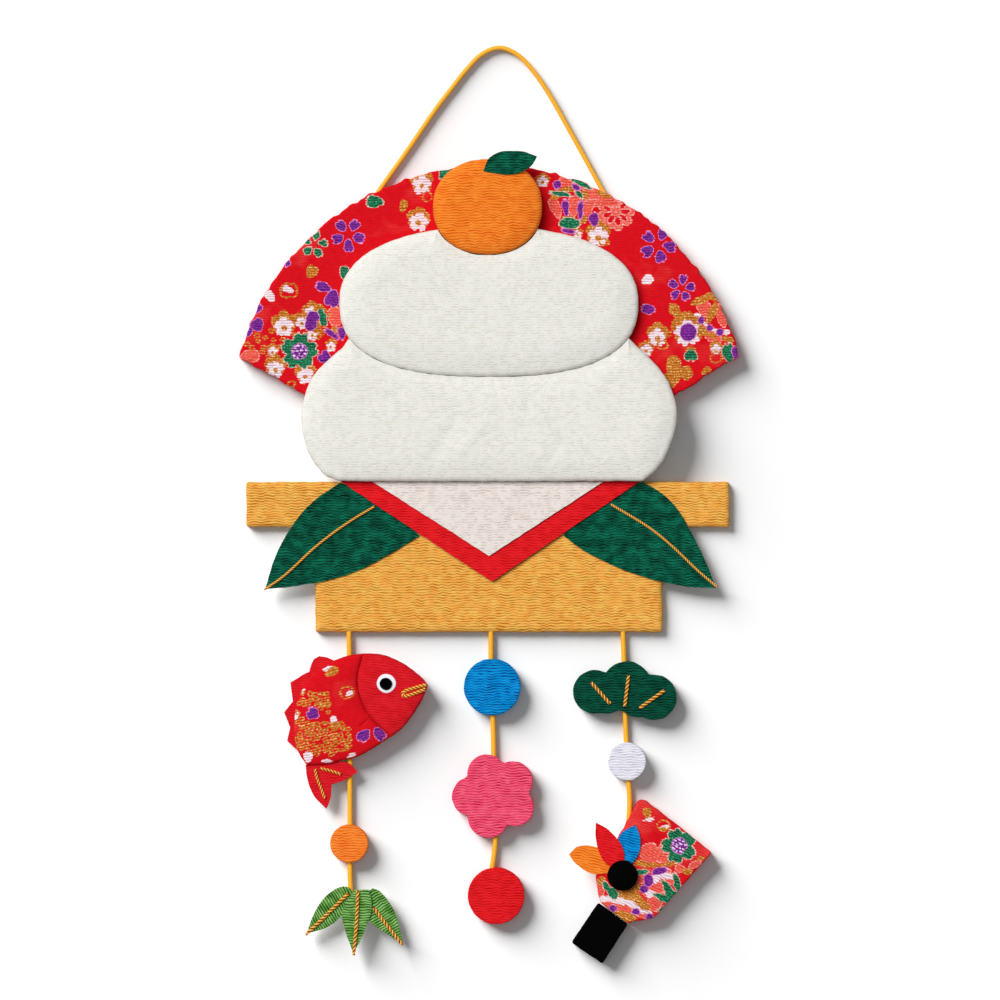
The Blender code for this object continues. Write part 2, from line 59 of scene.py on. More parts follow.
VIEW_WIDTH = 333.333  # of floor, across the view
VIEW_CENTRE = (3.5, 19.1)
CAMERA_HEIGHT = 2500.0
SENSOR = 36.0


def add_camera():
    """Looks straight down on the hanging, from far off, so that nothing leans outwards."""
    data = bpy.data.cameras.new("camera")
    data.sensor_width = SENSOR
    data.lens = SENSOR * CAMERA_HEIGHT / VIEW_WIDTH
    camera = bpy.data.objects.new("camera", data)
    camera.location = (VIEW_CENTRE[0] * MM, VIEW_CENTRE[1] * MM, CAMERA_HEIGHT * MM)
    bpy.context.scene.collection.objects.link(camera)
    bpy.context.scene.camera = camera


add_camera()

# ---------------------------------------------------------------- materials

CREPE_GLOSS = {"roughness": 0.8, "Sheen_Weight": 0.01, "Specular_IOR_Level": 0.05}
YARN_BUMP = 0.1  # depth of the bump of single yarns and of pile
THREAD_BUMP = 0.05  # and of a cord's threads

# How finely things vary on crepe: lumps for each mm along its rows, or for each row across them.
YARN_LUMPS = (2.2, 3.0, 1.0)  # the shade of single yarns
DYE_LUMPS = 0.28  # the drift between two dye shades
GROUND_LUMPS = 0.5  # the red ground of the print
THIN_LUMPS = 0.07  # the places where that red is thin
FLECK_LUMPS = 1.5  # the flecks in an ink
RAGGED_LUMPS = 1.9  # an ink's ragged edge
INK_STARTS = 0.3  # mm outside its shape, less what the ridges and the ragged edge take off
INK_COVERS = 0.18

BRAID_STRANDS = 5.0  # round the yellow cord, each way
BRAID_CROSSINGS = 1.3  # on each mm of it
FIBRE_LUMPS = (1.2, 9.0, 1.0)  # in gold thread: for each mm along a strand, and round it


def linear(code):
    """Linear colour of an sRGB hex code such as #ff8800."""
    parts = [int(code[i : i + 2], 16) / 255 for i in (1, 3, 5)]
    return [p / 12.92 if p <= 0.04045 else ((p + 0.055) / 1.055) ** 2.4 for p in parts] + [1.0]


def node(tree, kind, inputs=None, **settings):
    """Adds a shader node. Settings are its properties, and inputs are values or other nodes'
    outputs. By number, a Map Range node takes a value, the ends that it may have (1 and 2) and what
    they become (3 and 4), and a colour Mix node takes a share and two colours (6 and 7)."""
    made = tree.nodes.new("ShaderNode" + kind)
    for name, value in settings.items():
        setattr(made, name, value)
    for name, value in (inputs or {}).items():
        if isinstance(value, bpy.types.NodeSocket):
            tree.links.new(value, made.inputs[name])
        else:
            made.inputs[name].default_value = value
    return made


def new_material(name, roughness, **sockets):
    """A material with its Principled shader set, as (material, node tree, shader)."""
    made = bpy.data.materials.new(name)
    made.use_nodes = True
    shader = made.node_tree.nodes["Principled BSDF"]
    shader.inputs["Roughness"].default_value = roughness
    for socket, value in sockets.items():
        shader.inputs[socket.replace("_", " ")].default_value = value
    return made, made.node_tree, shader


def read_weave(tree):
    """(place, ridge) on crinkled cloth: place is (mm along the ridge, row number), and ridge goes
    from 0 in a valley to 1 on a ridge."""
    weave = node(tree, "Attribute", attribute_name="weave")
    along, row, marked = node(tree, "SeparateXYZ", {0: weave.outputs["Vector"]}).outputs
    turns = node(tree, "Math", {0: row, 1: 2 * math.pi}, operation="MULTIPLY")
    wave = node(tree, "Math", {0: turns.outputs[0]}, operation="COSINE")
    sunk = node(tree, "Math", {0: wave.outputs[0], 1: 0.5, 2: -0.5}, operation="MULTIPLY_ADD")
    ridge = node(tree, "Math", {0: sunk.outputs[0], 1: marked, 2: 1.0}, operation="MULTIPLY_ADD")
    wide = node(tree, "MapRange", {0: ridge.outputs[0], 1: 0.1, 2: 0.85})
    place = node(tree, "CombineXYZ", {0: along, 1: row})
    return place.outputs[0], wide.outputs[0]


def dress(tree, shader, colour, height, bump, depth):
    """Gives a shader its colour, and a bump of some strength and depth."""
    tree.links.new(colour, shader.inputs["Base Color"])
    raised = node(tree, "Bump", {"Height": height, "Strength": bump, "Distance": depth * MM})
    tree.links.new(raised.outputs[0], shader.inputs["Normal"])


def crepe_finish(tree, shader, colour, place, ridge, bump):
    """Gives a crepe colour the uneven shade of its single yarns, and their bump."""
    finer = node(tree, "VectorMath", {0: place, 1: YARN_LUMPS}, operation="MULTIPLY")
    yarn = node(tree, "TexNoise", {"Vector": finer.outputs[0], "Scale": 1.0, "Detail": 2.0})
    shade = node(tree, "MapRange", {0: yarn.outputs[0], 1: 0.3, 2: 0.7, 3: 0.88, 4: 1.08})
    shaded = node(tree, "Mix", {0: 1.0, 6: colour, 7: shade.outputs[0]}, data_type="RGBA",
                  blend_type="MULTIPLY")
    height = node(tree, "Math", {0: yarn.outputs[0], 1: 0.4, 2: ridge}, operation="MULTIPLY_ADD")
    dress(tree, shader, shaded.outputs[2], height.outputs[0], bump, YARN_BUMP)


def crepe(name, valley, ridge, second, bump=0.4):
    """Polyester crepe woven with hard-twisted yarn: matt, with ridges painted lighter and valleys
    painted darker, as painted light and shade on the crinkles, and ridges that drift a little
    between two dye shades."""
    made, tree, shader = new_material(name, **CREPE_GLOSS)
    place, height = read_weave(tree)
    wide = node(tree, "TexNoise", {"Vector": place, "Scale": DYE_LUMPS, "Detail": 3.0})
    drift = node(tree, "MapRange", {0: wide.outputs[0], 1: 0.38, 2: 0.62})
    top = node(tree, "Mix", {0: drift.outputs[0], 6: linear(ridge), 7: linear(second)},
               data_type="RGBA")
    # painted light and shade: the valley colour is darker and the ridge colours lighter, by the
    # crinkle's height
    colour = node(tree, "Mix", {0: height, 6: linear(valley), 7: top.outputs[2]}, data_type="RGBA")
    crepe_finish(tree, shader, colour.outputs[2], place, height, bump)
    return made


WHITE_CREPE = crepe("white_crepe", "#cfccc4", "#e4e1dc", "#dfdfd6", 0.25)
ORANGE_CREPE = crepe("orange_crepe", "#cb4e02", "#f38d30", "#ef8028")
SMALL_ORANGE_CREPE = crepe("deep_orange_crepe", "#cb4c03", "#f58c36", "#f07e2c")
GREEN_CREPE = crepe("green_crepe", "#000604", "#0a6a50", "#044836")
PINE_CREPE = crepe("deep_green_crepe", "#000a06", "#065440", "#034634")
BAMBOO_CREPE = crepe("bamboo_crepe", "#001a00", "#8cc66c", "#549038")
GOLD_CREPE = crepe("gold_crepe", "#ac640c", "#edb95a", "#eea84c")
RED_CREPE = crepe("red_crepe", "#aa0208", "#e41f26", "#dc1a21", 0.3)
BREAM_CREPE = crepe("soft_red_crepe", "#b20612", "#da1f2a", "#d01722", 0.3)
BLUE_CREPE = crepe("blue_crepe", "#002468", "#0c94da", "#0083ca")
PINK_CREPE = crepe("pink_crepe", "#b00830", "#f2607e", "#ec4e72")
PALE_CREPE = crepe("pale_crepe", "#beb0ab", "#e4dbd6", "#e0d5ce", 0.3)
COOL_WHITE_CREPE = crepe("cool_white_crepe", "#acabb8", "#e9e8f0", "#e2e1ec")

# The inks of the printed cloth in the order they are laid on: attribute and part of it that hold
# how far a place is from the ink's edge in mm, how much wider than the shape it prints, and its colour
# in the valleys (darker, as painted shade), on the ridges (lighter, as painted light) and in flecks on
# the ridges.
INKS = (
    ("ink_low", 1, 0.2, "#d45a54", "#f0a89c", "#fce0dc"),
    ("ink_low", 1, 0.0, "#c83430", "#ea5a48", "#f49488"),
    ("ink_low", 0, 0.0, "#b890a8", "#efdbde", "#ffffff"),
    ("ink_low", 2, 0.0, "#8e4608", "#c4701c", "#f6d488"),
    ("ink_high", 0, 0.18, "#d09080", "#e8c8bc", "#fdf0e8"),
    ("ink_high", 0, 0.0, "#062c22", "#1a744c", "#58b084"),
    ("ink_high", 1, 0.18, "#b8489c", "#dc8ccc", "#f4ccea"),
    ("ink_high", 1, 0.0, "#3c0c4c", "#782690", "#a04cb0"),
    ("ink_high", 2, 0.0, "#a868b8", "#e8c0ec", "#ffffff"),
)


def printed_crepe(name, thinned):
    """Red crepe with a flower print: the ink lies on the ridges, so edges step from row to row, and
    each ink is painted darker in the valleys and lighter on the ridges, as painted shade and light.
    Its red is thin where a broad noise passes the level given, so a lower level leaves more of it
    thin, and there its ridges are painted paler, as painted light on the rows."""
    made, tree, shader = new_material(name, **CREPE_GLOSS)
    place, height = read_weave(tree)
    wide = node(tree, "TexNoise", {"Vector": place, "Scale": GROUND_LUMPS, "Detail": 4.0})
    ground = node(tree, "Mix", {0: wide.outputs[0], 6: linear("#c00414"), 7: linear("#da141e")},
                  data_type="RGBA")
    broad = node(tree, "TexNoise", {"Vector": place, "Scale": THIN_LUMPS, "Detail": 6.0})
    thin = node(tree, "MapRange", {0: broad.outputs[0], 1: thinned, 2: thinned + 0.24, 4: 0.6})
    # where the red is thin its ridges are painted paler: thin red, and painted light on the rows
    thin_red_lit_ridges = node(tree, "Math", {0: thin.outputs[0], 1: height}, operation="MULTIPLY")
    ground_with_lit_ridges = node(tree, "Mix", {0: thin_red_lit_ridges.outputs[0], 6: ground.outputs[2], 7: linear("#ee5850")},
                 data_type="RGBA")
    colour = ground_with_lit_ridges.outputs[2]
    specks = node(tree, "TexNoise", {"Vector": place, "Scale": FLECK_LUMPS, "Detail": 3.0})
    speck = node(tree, "MapRange", {0: specks.outputs[0], 1: 0.52, 2: 0.66})
    ragged = node(tree, "TexNoise", {"Vector": place, "Scale": RAGGED_LUMPS, "Detail": 2.0})
    stepped = node(tree, "Math", {0: height, 1: -0.22, 2: 0.1}, operation="MULTIPLY_ADD")
    edge = node(tree, "Math", {0: ragged.outputs[0], 1: 0.5, 2: stepped.outputs[0]},
                operation="MULTIPLY_ADD")
    fields = {}
    for attribute in ("ink_low", "ink_high"):
        read = node(tree, "Attribute", attribute_name=attribute)
        fields[attribute] = node(tree, "SeparateXYZ", {0: read.outputs["Vector"]}).outputs
    for attribute, part, spread, valley, ridge, fleck in INKS:
        off = node(tree, "Math", {0: fields[attribute][part], 1: edge.outputs[0]}, operation="ADD")
        ends = {1: INK_STARTS + spread, 2: INK_COVERS + spread}
        covers = node(tree, "MapRange", {0: off.outputs[0], **ends})
        top = node(tree, "Mix", {0: speck.outputs[0], 6: linear(ridge), 7: linear(fleck)},
                   data_type="RGBA")
        # painted light and shade: each ink darker in the valleys and lighter on the ridges
        ink = node(tree, "Mix", {0: height, 6: linear(valley), 7: top.outputs[2]}, data_type="RGBA")
        printed = node(tree, "Mix", {0: covers.outputs[0], 6: colour, 7: ink.outputs[2]},
                       data_type="RGBA")
        colour = printed.outputs[2]
    crepe_finish(tree, shader, colour, place, height, 0.3)
    return made


FLORAL_CREPE = printed_crepe("floral_crepe", 0.56)
THIN_FLORAL_CREPE = printed_crepe("thin_floral_crepe", 0.42)


def pile(name, dark, light, lumps, sheen, bump):
    """Velvet's short dense pile, or the pressed fibres of felt and card: matt and softly mottled by
    some lumps in each mm, with a faint sheen where it turns away."""
    made, tree, shader = new_material(name, 0.95, Sheen_Weight=sheen, Specular_IOR_Level=0.03)
    spot = node(tree, "TexCoord")
    fibres = node(tree, "TexNoise", {"Vector": spot.outputs["Object"], "Scale": lumps / MM,
                                     "Detail": 3.0})
    colour = node(tree, "Mix", {0: fibres.outputs[0], 6: linear(dark), 7: linear(light)},
                  data_type="RGBA")
    dress(tree, shader, colour.outputs[2], fibres.outputs[0], bump, YARN_BUMP)
    return made


BLACK_VELVET = pile("black_velvet", "#000000", "#060505", 3.5, 0.0, 0.5)
WHITE_FELT = pile("white_felt", "#dcdce8", "#f4f4fc", 2.5, 0.1, 0.4)
BACKING_CARD = pile("backing_card", "#b9b4a8", "#d6d2c6", 0.9, 0.0, 0.2)


def rayon_cord():
    """Smooth braided rayon cord: satin, with a fine braid that runs round it both ways, painted
    lighter where the braid rises and darker in its dips, as painted light and shade.
    """
    made, tree, shader = new_material("yellow_rayon_cord", 0.45, Specular_IOR_Level=0.3)
    lay = node(tree, "Attribute", attribute_name="lay")
    along, turn, _ = node(tree, "SeparateXYZ", {0: lay.outputs["Vector"]}).outputs
    strands = []
    for direction in (1, -1):
        around = node(tree, "Math", {0: turn, 1: BRAID_STRANDS * direction}, operation="MULTIPLY")
        phase = node(tree, "Math", {0: along, 1: BRAID_CROSSINGS, 2: around.outputs[0]},
                     operation="MULTIPLY_ADD")
        turns = node(tree, "Math", {0: phase.outputs[0], 1: 2 * math.pi}, operation="MULTIPLY")
        strands.append(node(tree, "Math", {0: turns.outputs[0]}, operation="SINE").outputs[0])
    braid = node(tree, "Math", {0: strands[0], 1: strands[1]}, operation="MAXIMUM")
    # painted light and shade: the braid's crossings lighter, its dips darker
    colour = node(tree, "Mix", {0: braid.outputs[0], 6: linear("#e0900c"), 7: linear("#ffc02c")},
                  data_type="RGBA")
    dress(tree, shader, colour.outputs[2], braid.outputs[0], 0.25, THREAD_BUMP)
    return made


YELLOW_CORD = rayon_cord()


def gold_cord():
    """Gold rayon thread twisted into cord: satin, with fine fibres along each strand, painted bright
    on the outer side of each strand as painted highlight, and deep orange-brown between the strands
    as painted shade."""
    made, tree, shader = new_material("gold_twisted_cord", 0.38, Specular_IOR_Level=0.6)
    lay = node(tree, "Attribute", attribute_name="lay")
    finer = node(tree, "VectorMath", {0: lay.outputs["Vector"], 1: FIBRE_LUMPS},
                 operation="MULTIPLY")
    fibres = node(tree, "TexNoise", {"Vector": finer.outputs[0], "Scale": 1.0, "Detail": 3.0})
    out = node(tree, "SeparateXYZ", {0: lay.outputs["Vector"]}).outputs[2]
    # painted light and shade: the outer side of each strand bright, the inside between strands dark
    painted_strand_light = node(tree, "MapRange", {0: out, 1: 0.6, 2: 1.0, 3: -0.3, 4: 0.85})
    tone = node(tree, "Math", {0: fibres.outputs[0], 1: 0.4, 2: painted_strand_light.outputs[0]},
                operation="MULTIPLY_ADD")
    colour = node(tree, "Mix", {0: tone.outputs[0], 6: linear("#863002"), 7: linear("#fcb440")},
                  data_type="RGBA")
    dress(tree, shader, colour.outputs[2], fibres.outputs[0], 0.4, THREAD_BUMP)
    return made


GOLD_CORD = gold_cord()

# ---------------------------------------------------------------- pieces


def new_piece(name, points, faces, materials, replaced):
    """A mesh piece in place of a CAD node. Points are an array in millimetres."""
    mesh = bpy.data.meshes.new(name)
    mesh.from_pydata((points * MM).tolist(), [], faces)
    for material in materials:
        mesh.materials.append(material)
    mesh.shade_smooth()
    mesh.update()
    piece = bpy.data.objects.new(name, mesh)
    bpy.context.scene.collection.objects.link(piece)
    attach(piece, "root")
    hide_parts(replaced)
    return piece


def write_vectors(piece, name, values):
    """Stores one vector for each point of a piece, for its material to read."""
    made = piece.data.attributes.new(name, "FLOAT_VECTOR", "POINT")
    made.data.foreach_set("vector", np.ascontiguousarray(values, np.float32).ravel())


def node_heights(name):
    low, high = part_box(name)
    return low.z / MM, high.z / MM


def node_solid(name):
    """A copy of a CAD node's mesh, with its loose triangles joined."""
    solid = bmesh.new()
    solid.from_mesh(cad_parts[name].data)
    bmesh.ops.remove_doubles(solid, verts=solid.verts, dist=0.005 * MM)
    return solid


# ---------------------------------------------------------------- crepe cloth


@dataclass(frozen=True)
class Crepe:
    """How one cloth is crinkled."""

    pitch: float = 0.87  # from one ridge to the next
    sway: float = 0.36  # how far a ridge wanders to each side
    depth: float = 0.13  # from the valleys to the ridges
    patchy: float = 0.3  # half of the share of its depth that a valley loses and finds again
    dash: float = 1.5  # and over how long a stretch
    turn: float = 0.0  # of the ridges from level, in degrees
    seed: int = 1


WAVE = (1.2, 2.4)  # lumps that the ridges wander by, along and across them
KINK = (0.75, 1.3)  # and smaller ones
KINK_SHARE = 0.4
VALLEY_LUMPS = 0.9  # of a valley's depth, for each row
GRID_STEP = 0.55  # between points along a ridge
GRID_ROWS = 5  # of points from one ridge to the next


def noise(x, y, seed):
    """Smooth noise from -1 to 1 over arrays of places, with lumps one unit apart. It repeats after
    128 lumps."""
    size = 128
    lattice = np.random.default_rng(seed).uniform(-1, 1, (size, size))
    column, row = np.floor(x).astype(int), np.floor(y).astype(int)
    across, up = x - column, y - row
    across = across * across * (3 - 2 * across)
    up = up * up * (3 - 2 * up)
    left, right = column % size, (column + 1) % size
    low, high = row % size, (row + 1) % size
    below = lattice[low, left] * (1 - across) + lattice[low, right] * across
    above = lattice[high, left] * (1 - across) + lattice[high, right] * across
    return below * (1 - up) + above * up


def wander(cloth, along, across):
    """How far the ridges at a place are pushed across their own direction."""
    waves = noise(along / WAVE[0], across / WAVE[1], cloth.seed)
    kinks = noise(along / KINK[0], across / KINK[1], cloth.seed + 1)
    return cloth.sway * (waves + KINK_SHARE * kinks)


def turned(x, y, degrees):
    angle = math.radians(degrees)
    return x * math.cos(angle) - y * math.sin(angle), x * math.sin(angle) + y * math.cos(angle)


def rows_at(cloth, x, y):
    """(distance along the row, row number, how marked the valley is) at places on the flat cloth."""
    along, across = turned(x, y, -cloth.turn)
    straight = across.copy()
    for _ in range(10):  # each pass comes closer to the ridge before it was pushed
        straight = across - wander(cloth, along, straight)
    row = straight / cloth.pitch
    marked = 1 + cloth.patchy * (noise(along / cloth.dash, row * VALLEY_LUMPS, cloth.seed + 2) - 1)
    return along, row, marked


def crinkle_grid(cloth, low, high):
    """Places over a box that follow the ridges and valleys of the cloth."""
    corners = np.array([(x, y) for x in (low[0], high[0]) for y in (low[1], high[1])])
    along, across = turned(corners[:, 0], corners[:, 1], -cloth.turn)
    fine = cloth.pitch / GRID_ROWS
    first, last = math.floor(across.min() / fine) - 3, math.ceil(across.max() / fine) + 3
    straight = np.arange(first, last + 1) * fine
    run = np.arange(along.min() - 1, along.max() + 1, GRID_STEP)
    along, straight = (a.ravel() for a in np.meshgrid(run, straight))
    x, y = turned(along, straight + wander(cloth, along, straight), cloth.turn)
    inside = (x > low[0]) & (x < high[0]) & (y > low[1]) & (y < high[1])
    return np.column_stack([x, y])[inside]


# ---------------------------------------------------------------- outlines

CORNER = math.radians(32)  # an outline that turns more than this at a point has a corner there
STRAIGHT = math.radians(0.6)  # and one that turns less has no need of the point
OUTLINE_STEP = 0.4
UNEVEN_LUMP = 2.0  # length of the bulges of an uneven outline
THIN_NODE = 1.0  # a thinner node has no groove
GROOVE_FRONT = 2.05  # the cords' grooves reach no further forward than this


def turning(loop):
    """How much the outline turns at each point, as an angle."""
    into = loop - np.roll(loop, 1, 0)
    out = np.roll(loop, -1, 0) - loop
    cross = into[:, 0] * out[:, 1] - into[:, 1] * out[:, 0]
    return np.abs(np.arctan2(cross, (into * out).sum(1)))


def node_outline(name):
    """A CAD node's outline between its grooves and its rounding, as one anticlockwise loop."""
    back, top = node_heights(name)
    level = (back + top) / 2 if top - back < THIN_NODE else max(GROOVE_FRONT + 0.02, back + 0.3)
    solid = node_solid(name)
    everything = solid.verts[:] + solid.edges[:] + solid.faces[:]
    cut = bmesh.ops.bisect_plane(solid, geom=everything, plane_co=(0, 0, level * MM),
                                 plane_no=(0, 0, 1))
    edges = {item for item in cut["geom_cut"] if isinstance(item, bmesh.types.BMEdge)}
    edge = min(edges, key=lambda item: item.index)
    vertex = edge.verts[0]
    loop = []
    while edge is not None:
        edges.discard(edge)
        loop.append((vertex.co.x / MM, vertex.co.y / MM))
        vertex = edge.other_vert(vertex)
        edge = next((item for item in vertex.link_edges if item in edges), None)
    solid.free()
    loop = np.array(loop)
    x, y = loop.T
    if (x * np.roll(y, -1) - y * np.roll(x, -1)).sum() < 0:
        loop = loop[::-1]
    return loop[turning(loop) > STRAIGHT]


def blunted(loop, radius):
    """The outline with each corner rounded off."""
    points = []
    for i, sharp in enumerate(turning(loop) > CORNER):
        if not sharp:
            points.append(loop[i])
            continue
        before, after = loop[i - 1] - loop[i], loop[(i + 1) % len(loop)] - loop[i]
        start = loop[i] + before / np.linalg.norm(before) * min(radius, np.linalg.norm(before) / 2)
        end = loop[i] + after / np.linalg.norm(after) * min(radius, np.linalg.norm(after) / 2)
        for t in (0, 0.3, 0.7, 1):
            points.append(start * (1 - t) ** 2 + 2 * loop[i] * t * (1 - t) + end * t * t)
    return np.array(points)


def smoothed(loop):
    """Closely spaced points on the smooth curve through an outline, which keeps its corners."""
    sharp = turning(loop) > CORNER
    count = len(loop)
    fine = []
    for i in range(count):
        start, end = loop[i], loop[(i + 1) % count]
        length = np.linalg.norm(end - start)
        leave = end - start if sharp[i] else end - loop[i - 1]
        arrive = end - start if sharp[(i + 1) % count] else loop[(i + 2) % count] - start
        first = start + leave / np.linalg.norm(leave) * length / 3
        second = end - arrive / np.linalg.norm(arrive) * length / 3
        steps = max(1, round(length / OUTLINE_STEP))
        for t in np.arange(steps) / steps:
            curve = start * (1 - t) ** 3 + first * 3 * t * (1 - t) ** 2
            fine.append(curve + second * 3 * t * t * (1 - t) + end * t**3)
    return np.array(fine)


def outward(loop):
    """Outward direction at each point of an anticlockwise outline."""
    ahead = np.roll(loop, -1, 0) - loop
    ahead /= np.linalg.norm(ahead, axis=1)[:, None]
    run = ahead + np.roll(ahead, 1, 0)
    run /= np.linalg.norm(run, axis=1)[:, None]
    return np.column_stack([run[:, 1], -run[:, 0]])


def uneven(loop, amount, seed):
    """The outline pushed in and out a little, as hand-turned cloth is."""
    push = noise(loop[:, 0] / UNEVEN_LUMP, loop[:, 1] / UNEVEN_LUMP, seed)
    return loop + outward(loop) * (amount * push)[:, None]


def inset_reach(loop):
    """How far each point of an outline moves for one unit of inset: further at a jutting corner."""
    ahead = np.roll(loop, -1, 0) - loop
    ahead /= np.linalg.norm(ahead, axis=1)[:, None]
    into = np.roll(ahead, 1, 0)
    facing = (outward(loop) * np.column_stack([ahead[:, 1], -ahead[:, 0]])).sum(1)
    jutting = into[:, 0] * ahead[:, 1] - into[:, 1] * ahead[:, 0] > 0
    return np.where(jutting, 1 / np.maximum(facing, 0.3), 1.0)


def shrunk(loop, inset):
    return loop - outward(loop) * (inset_reach(loop) * inset)[:, None]


def is_inside(points, loop):
    x, y = points.T
    inside = np.zeros(len(points), bool)
    for (x0, y0), (x1, y1) in zip(loop, np.roll(loop, -1, 0)):
        if y0 != y1:
            inside ^= ((y0 > y) != (y1 > y)) & (x < (x1 - x0) * (y - y0) / (y1 - y0) + x0)
    return inside


def to_outline(points, loop, normals):
    """(distance to the outline, outward direction there, position along it) for each point."""
    tree = KDTree(len(loop))
    for i, (x, y) in enumerate(loop.tolist()):
        tree.insert((x, y, 0), i)
    tree.balance()
    nearest = np.array([tree.find((x, y, 0))[1] for x, y in points.tolist()])
    best = np.full(len(points), np.inf)
    place = np.zeros(len(points))
    for shift in (-1, 0):
        start = (nearest + shift) % len(loop)
        run = loop[(start + 1) % len(loop)] - loop[start]
        share = np.clip(((points - loop[start]) * run).sum(1) / (run * run).sum(1), 0, 1)
        away = np.linalg.norm(points - loop[start] - run * share[:, None], axis=1)
        closer = away < best
        best = np.where(closer, away, best)
        place = np.where(closer, start + share, place)
    start = np.floor(place).astype(int) % len(loop)
    share = (place - np.floor(place))[:, None]
    facing = normals[start] * (1 - share) + normals[(start + 1) % len(loop)] * share
    facing /= np.linalg.norm(facing, axis=1)[:, None]
    return best, facing, place


# ---------------------------------------------------------------- wadding

RISE_STEP = 1.5  # between the places where a padded front is measured
RISE_MARGIN = 3  # past the piece on each side
GROWN = 20.0  # the simulation works better on a copy this many times the size
VOXEL = 1.8
HELD = 1.0  # of the wadding at the back, which is glued down
FRAMES = 20


def inflated(name, swell):
    """Blows up a cloth copy of a padded CAD solid, held at its back, by a swell of at most some
    mm. Returns a function that gives how far its front has risen at any places."""
    back = node_heights(name)[0]
    shape = node_solid(name)
    bmesh.ops.scale(shape, vec=(GROWN, GROWN, GROWN), verts=shape.verts)
    mesh = bpy.data.meshes.new("pad")
    shape.to_mesh(mesh)
    shape.free()
    pad = bpy.data.objects.new("pad", mesh)
    bpy.context.scene.collection.objects.link(pad)
    bpy.ops.object.select_all(action="DESELECT")
    pad.select_set(True)
    bpy.context.view_layer.objects.active = pad
    mesh.remesh_voxel_size = VOXEL * MM * GROWN
    bpy.ops.object.voxel_remesh()
    before = BVHTree.FromObject(pad, bpy.context.evaluated_depsgraph_get())
    start = [vertex.co.copy() for vertex in mesh.vertices]
    glued = [i for i, place in enumerate(start) if place.z < (back + HELD) * MM * GROWN]
    pad.vertex_groups.new(name="held").add(glued, 1, "REPLACE")
    cloth = pad.modifiers.new("wadding", "CLOTH").settings
    cloth.quality = 6
    cloth.tension_stiffness = cloth.compression_stiffness = 12
    cloth.use_pressure = True
    cloth.uniform_pressure_force = 4
    cloth.effector_weights.gravity = 0
    cloth.vertex_group_mass = "held"
    for number in range(1, FRAMES + 1):
        bpy.context.scene.frame_set(number)
    bpy.ops.object.modifier_apply(modifier="wadding")
    for vertex, place in zip(mesh.vertices, start):
        move = vertex.co - place
        vertex.co = place + move * min(1, swell * MM * GROWN / max(move.length, 1e-9))
    mesh.update()
    after = BVHTree.FromObject(pad, bpy.context.evaluated_depsgraph_get())
    bpy.data.objects.remove(pad)
    bpy.context.scene.frame_set(1)

    low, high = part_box(name)
    columns = np.arange(low.x / MM - RISE_MARGIN, high.x / MM + RISE_MARGIN, RISE_STEP)
    rows = np.arange(low.y / MM - RISE_MARGIN, high.y / MM + RISE_MARGIN, RISE_STEP)
    risen = np.zeros((len(rows), len(columns)))
    for i, j in np.ndindex(risen.shape):
        above = (columns[j] * MM * GROWN, rows[i] * MM * GROWN, 1)
        tops = [tree.ray_cast(above, (0, 0, -1))[0] for tree in (before, after)]
        if all(tops):
            risen[i, j] = max(tops[1].z - tops[0].z, 0) / (MM * GROWN)
    for _ in range(6):
        for axis in (0, 1):
            risen = (np.roll(risen, 1, axis) + 2 * risen + np.roll(risen, -1, axis)) / 4

    def rise(points):
        column = (points[:, 0] - columns[0]) / RISE_STEP
        row = (points[:, 1] - rows[0]) / RISE_STEP
        i, j = np.floor(row).astype(int), np.floor(column).astype(int)
        up, across = row - i, column - j
        below = risen[i, j] * (1 - across) + risen[i, j + 1] * across
        above = risen[i + 1, j] * (1 - across) + risen[i + 1, j + 1] * across
        return below * (1 - up) + above * up

    return rise


def creased(points, creases):
    """Height of soft creases over places: each runs from one point to another, rising by some
    mm, or falling where that is negative, and reaching some mm to each side."""
    height = np.zeros(len(points))
    for x0, y0, x1, y1, rise, reach in creases:
        start, run = np.array((x0, y0)), np.array((x1 - x0, y1 - y0))
        share = ((points - start) @ run) / (run @ run)
        aside = ((points - start) @ np.array((-run[1], run[0]))) / np.linalg.norm(run)
        ends = np.clip(np.minimum(share, 1 - share) * 3 + 0.4, 0, 1)
        height += rise * np.exp(-((aside / reach) ** 2)) * ends * ends * (3 - 2 * ends)
    return height


# ---------------------------------------------------------------- covered panels

RIM_STEP = 0.26  # between points over a rounded rim
WALL_STEP = 0.3  # and down a wall
TUCK = 0.25  # how far a thick panel's cloth turns in at its back
TUCK_FACING = -9.0  # which then faces almost straight back
BUTT_REACH = 0.8  # an outline this near another one butts against it
CROWN_START = 3.0  # over how far from the outline a crown sets in
COVER_INSET = 4.0  # how far under another piece a front still has its crinkles
CREASE_ANGLE = math.radians(55)  # an edge that turns more than this is drawn sharp
RIM_CLEAR = 0.15  # between the rim and the first crinkles
CLOTH_LEVEL = 0.65  # how high on the ridges the panel's own surface is


@dataclass
class Skin:
    """A covered panel's mesh. Each point has its place on the cloth before it was wrapped round,
    and the way it faces."""

    points: np.ndarray
    faces: list
    flat: np.ndarray
    facing: np.ndarray


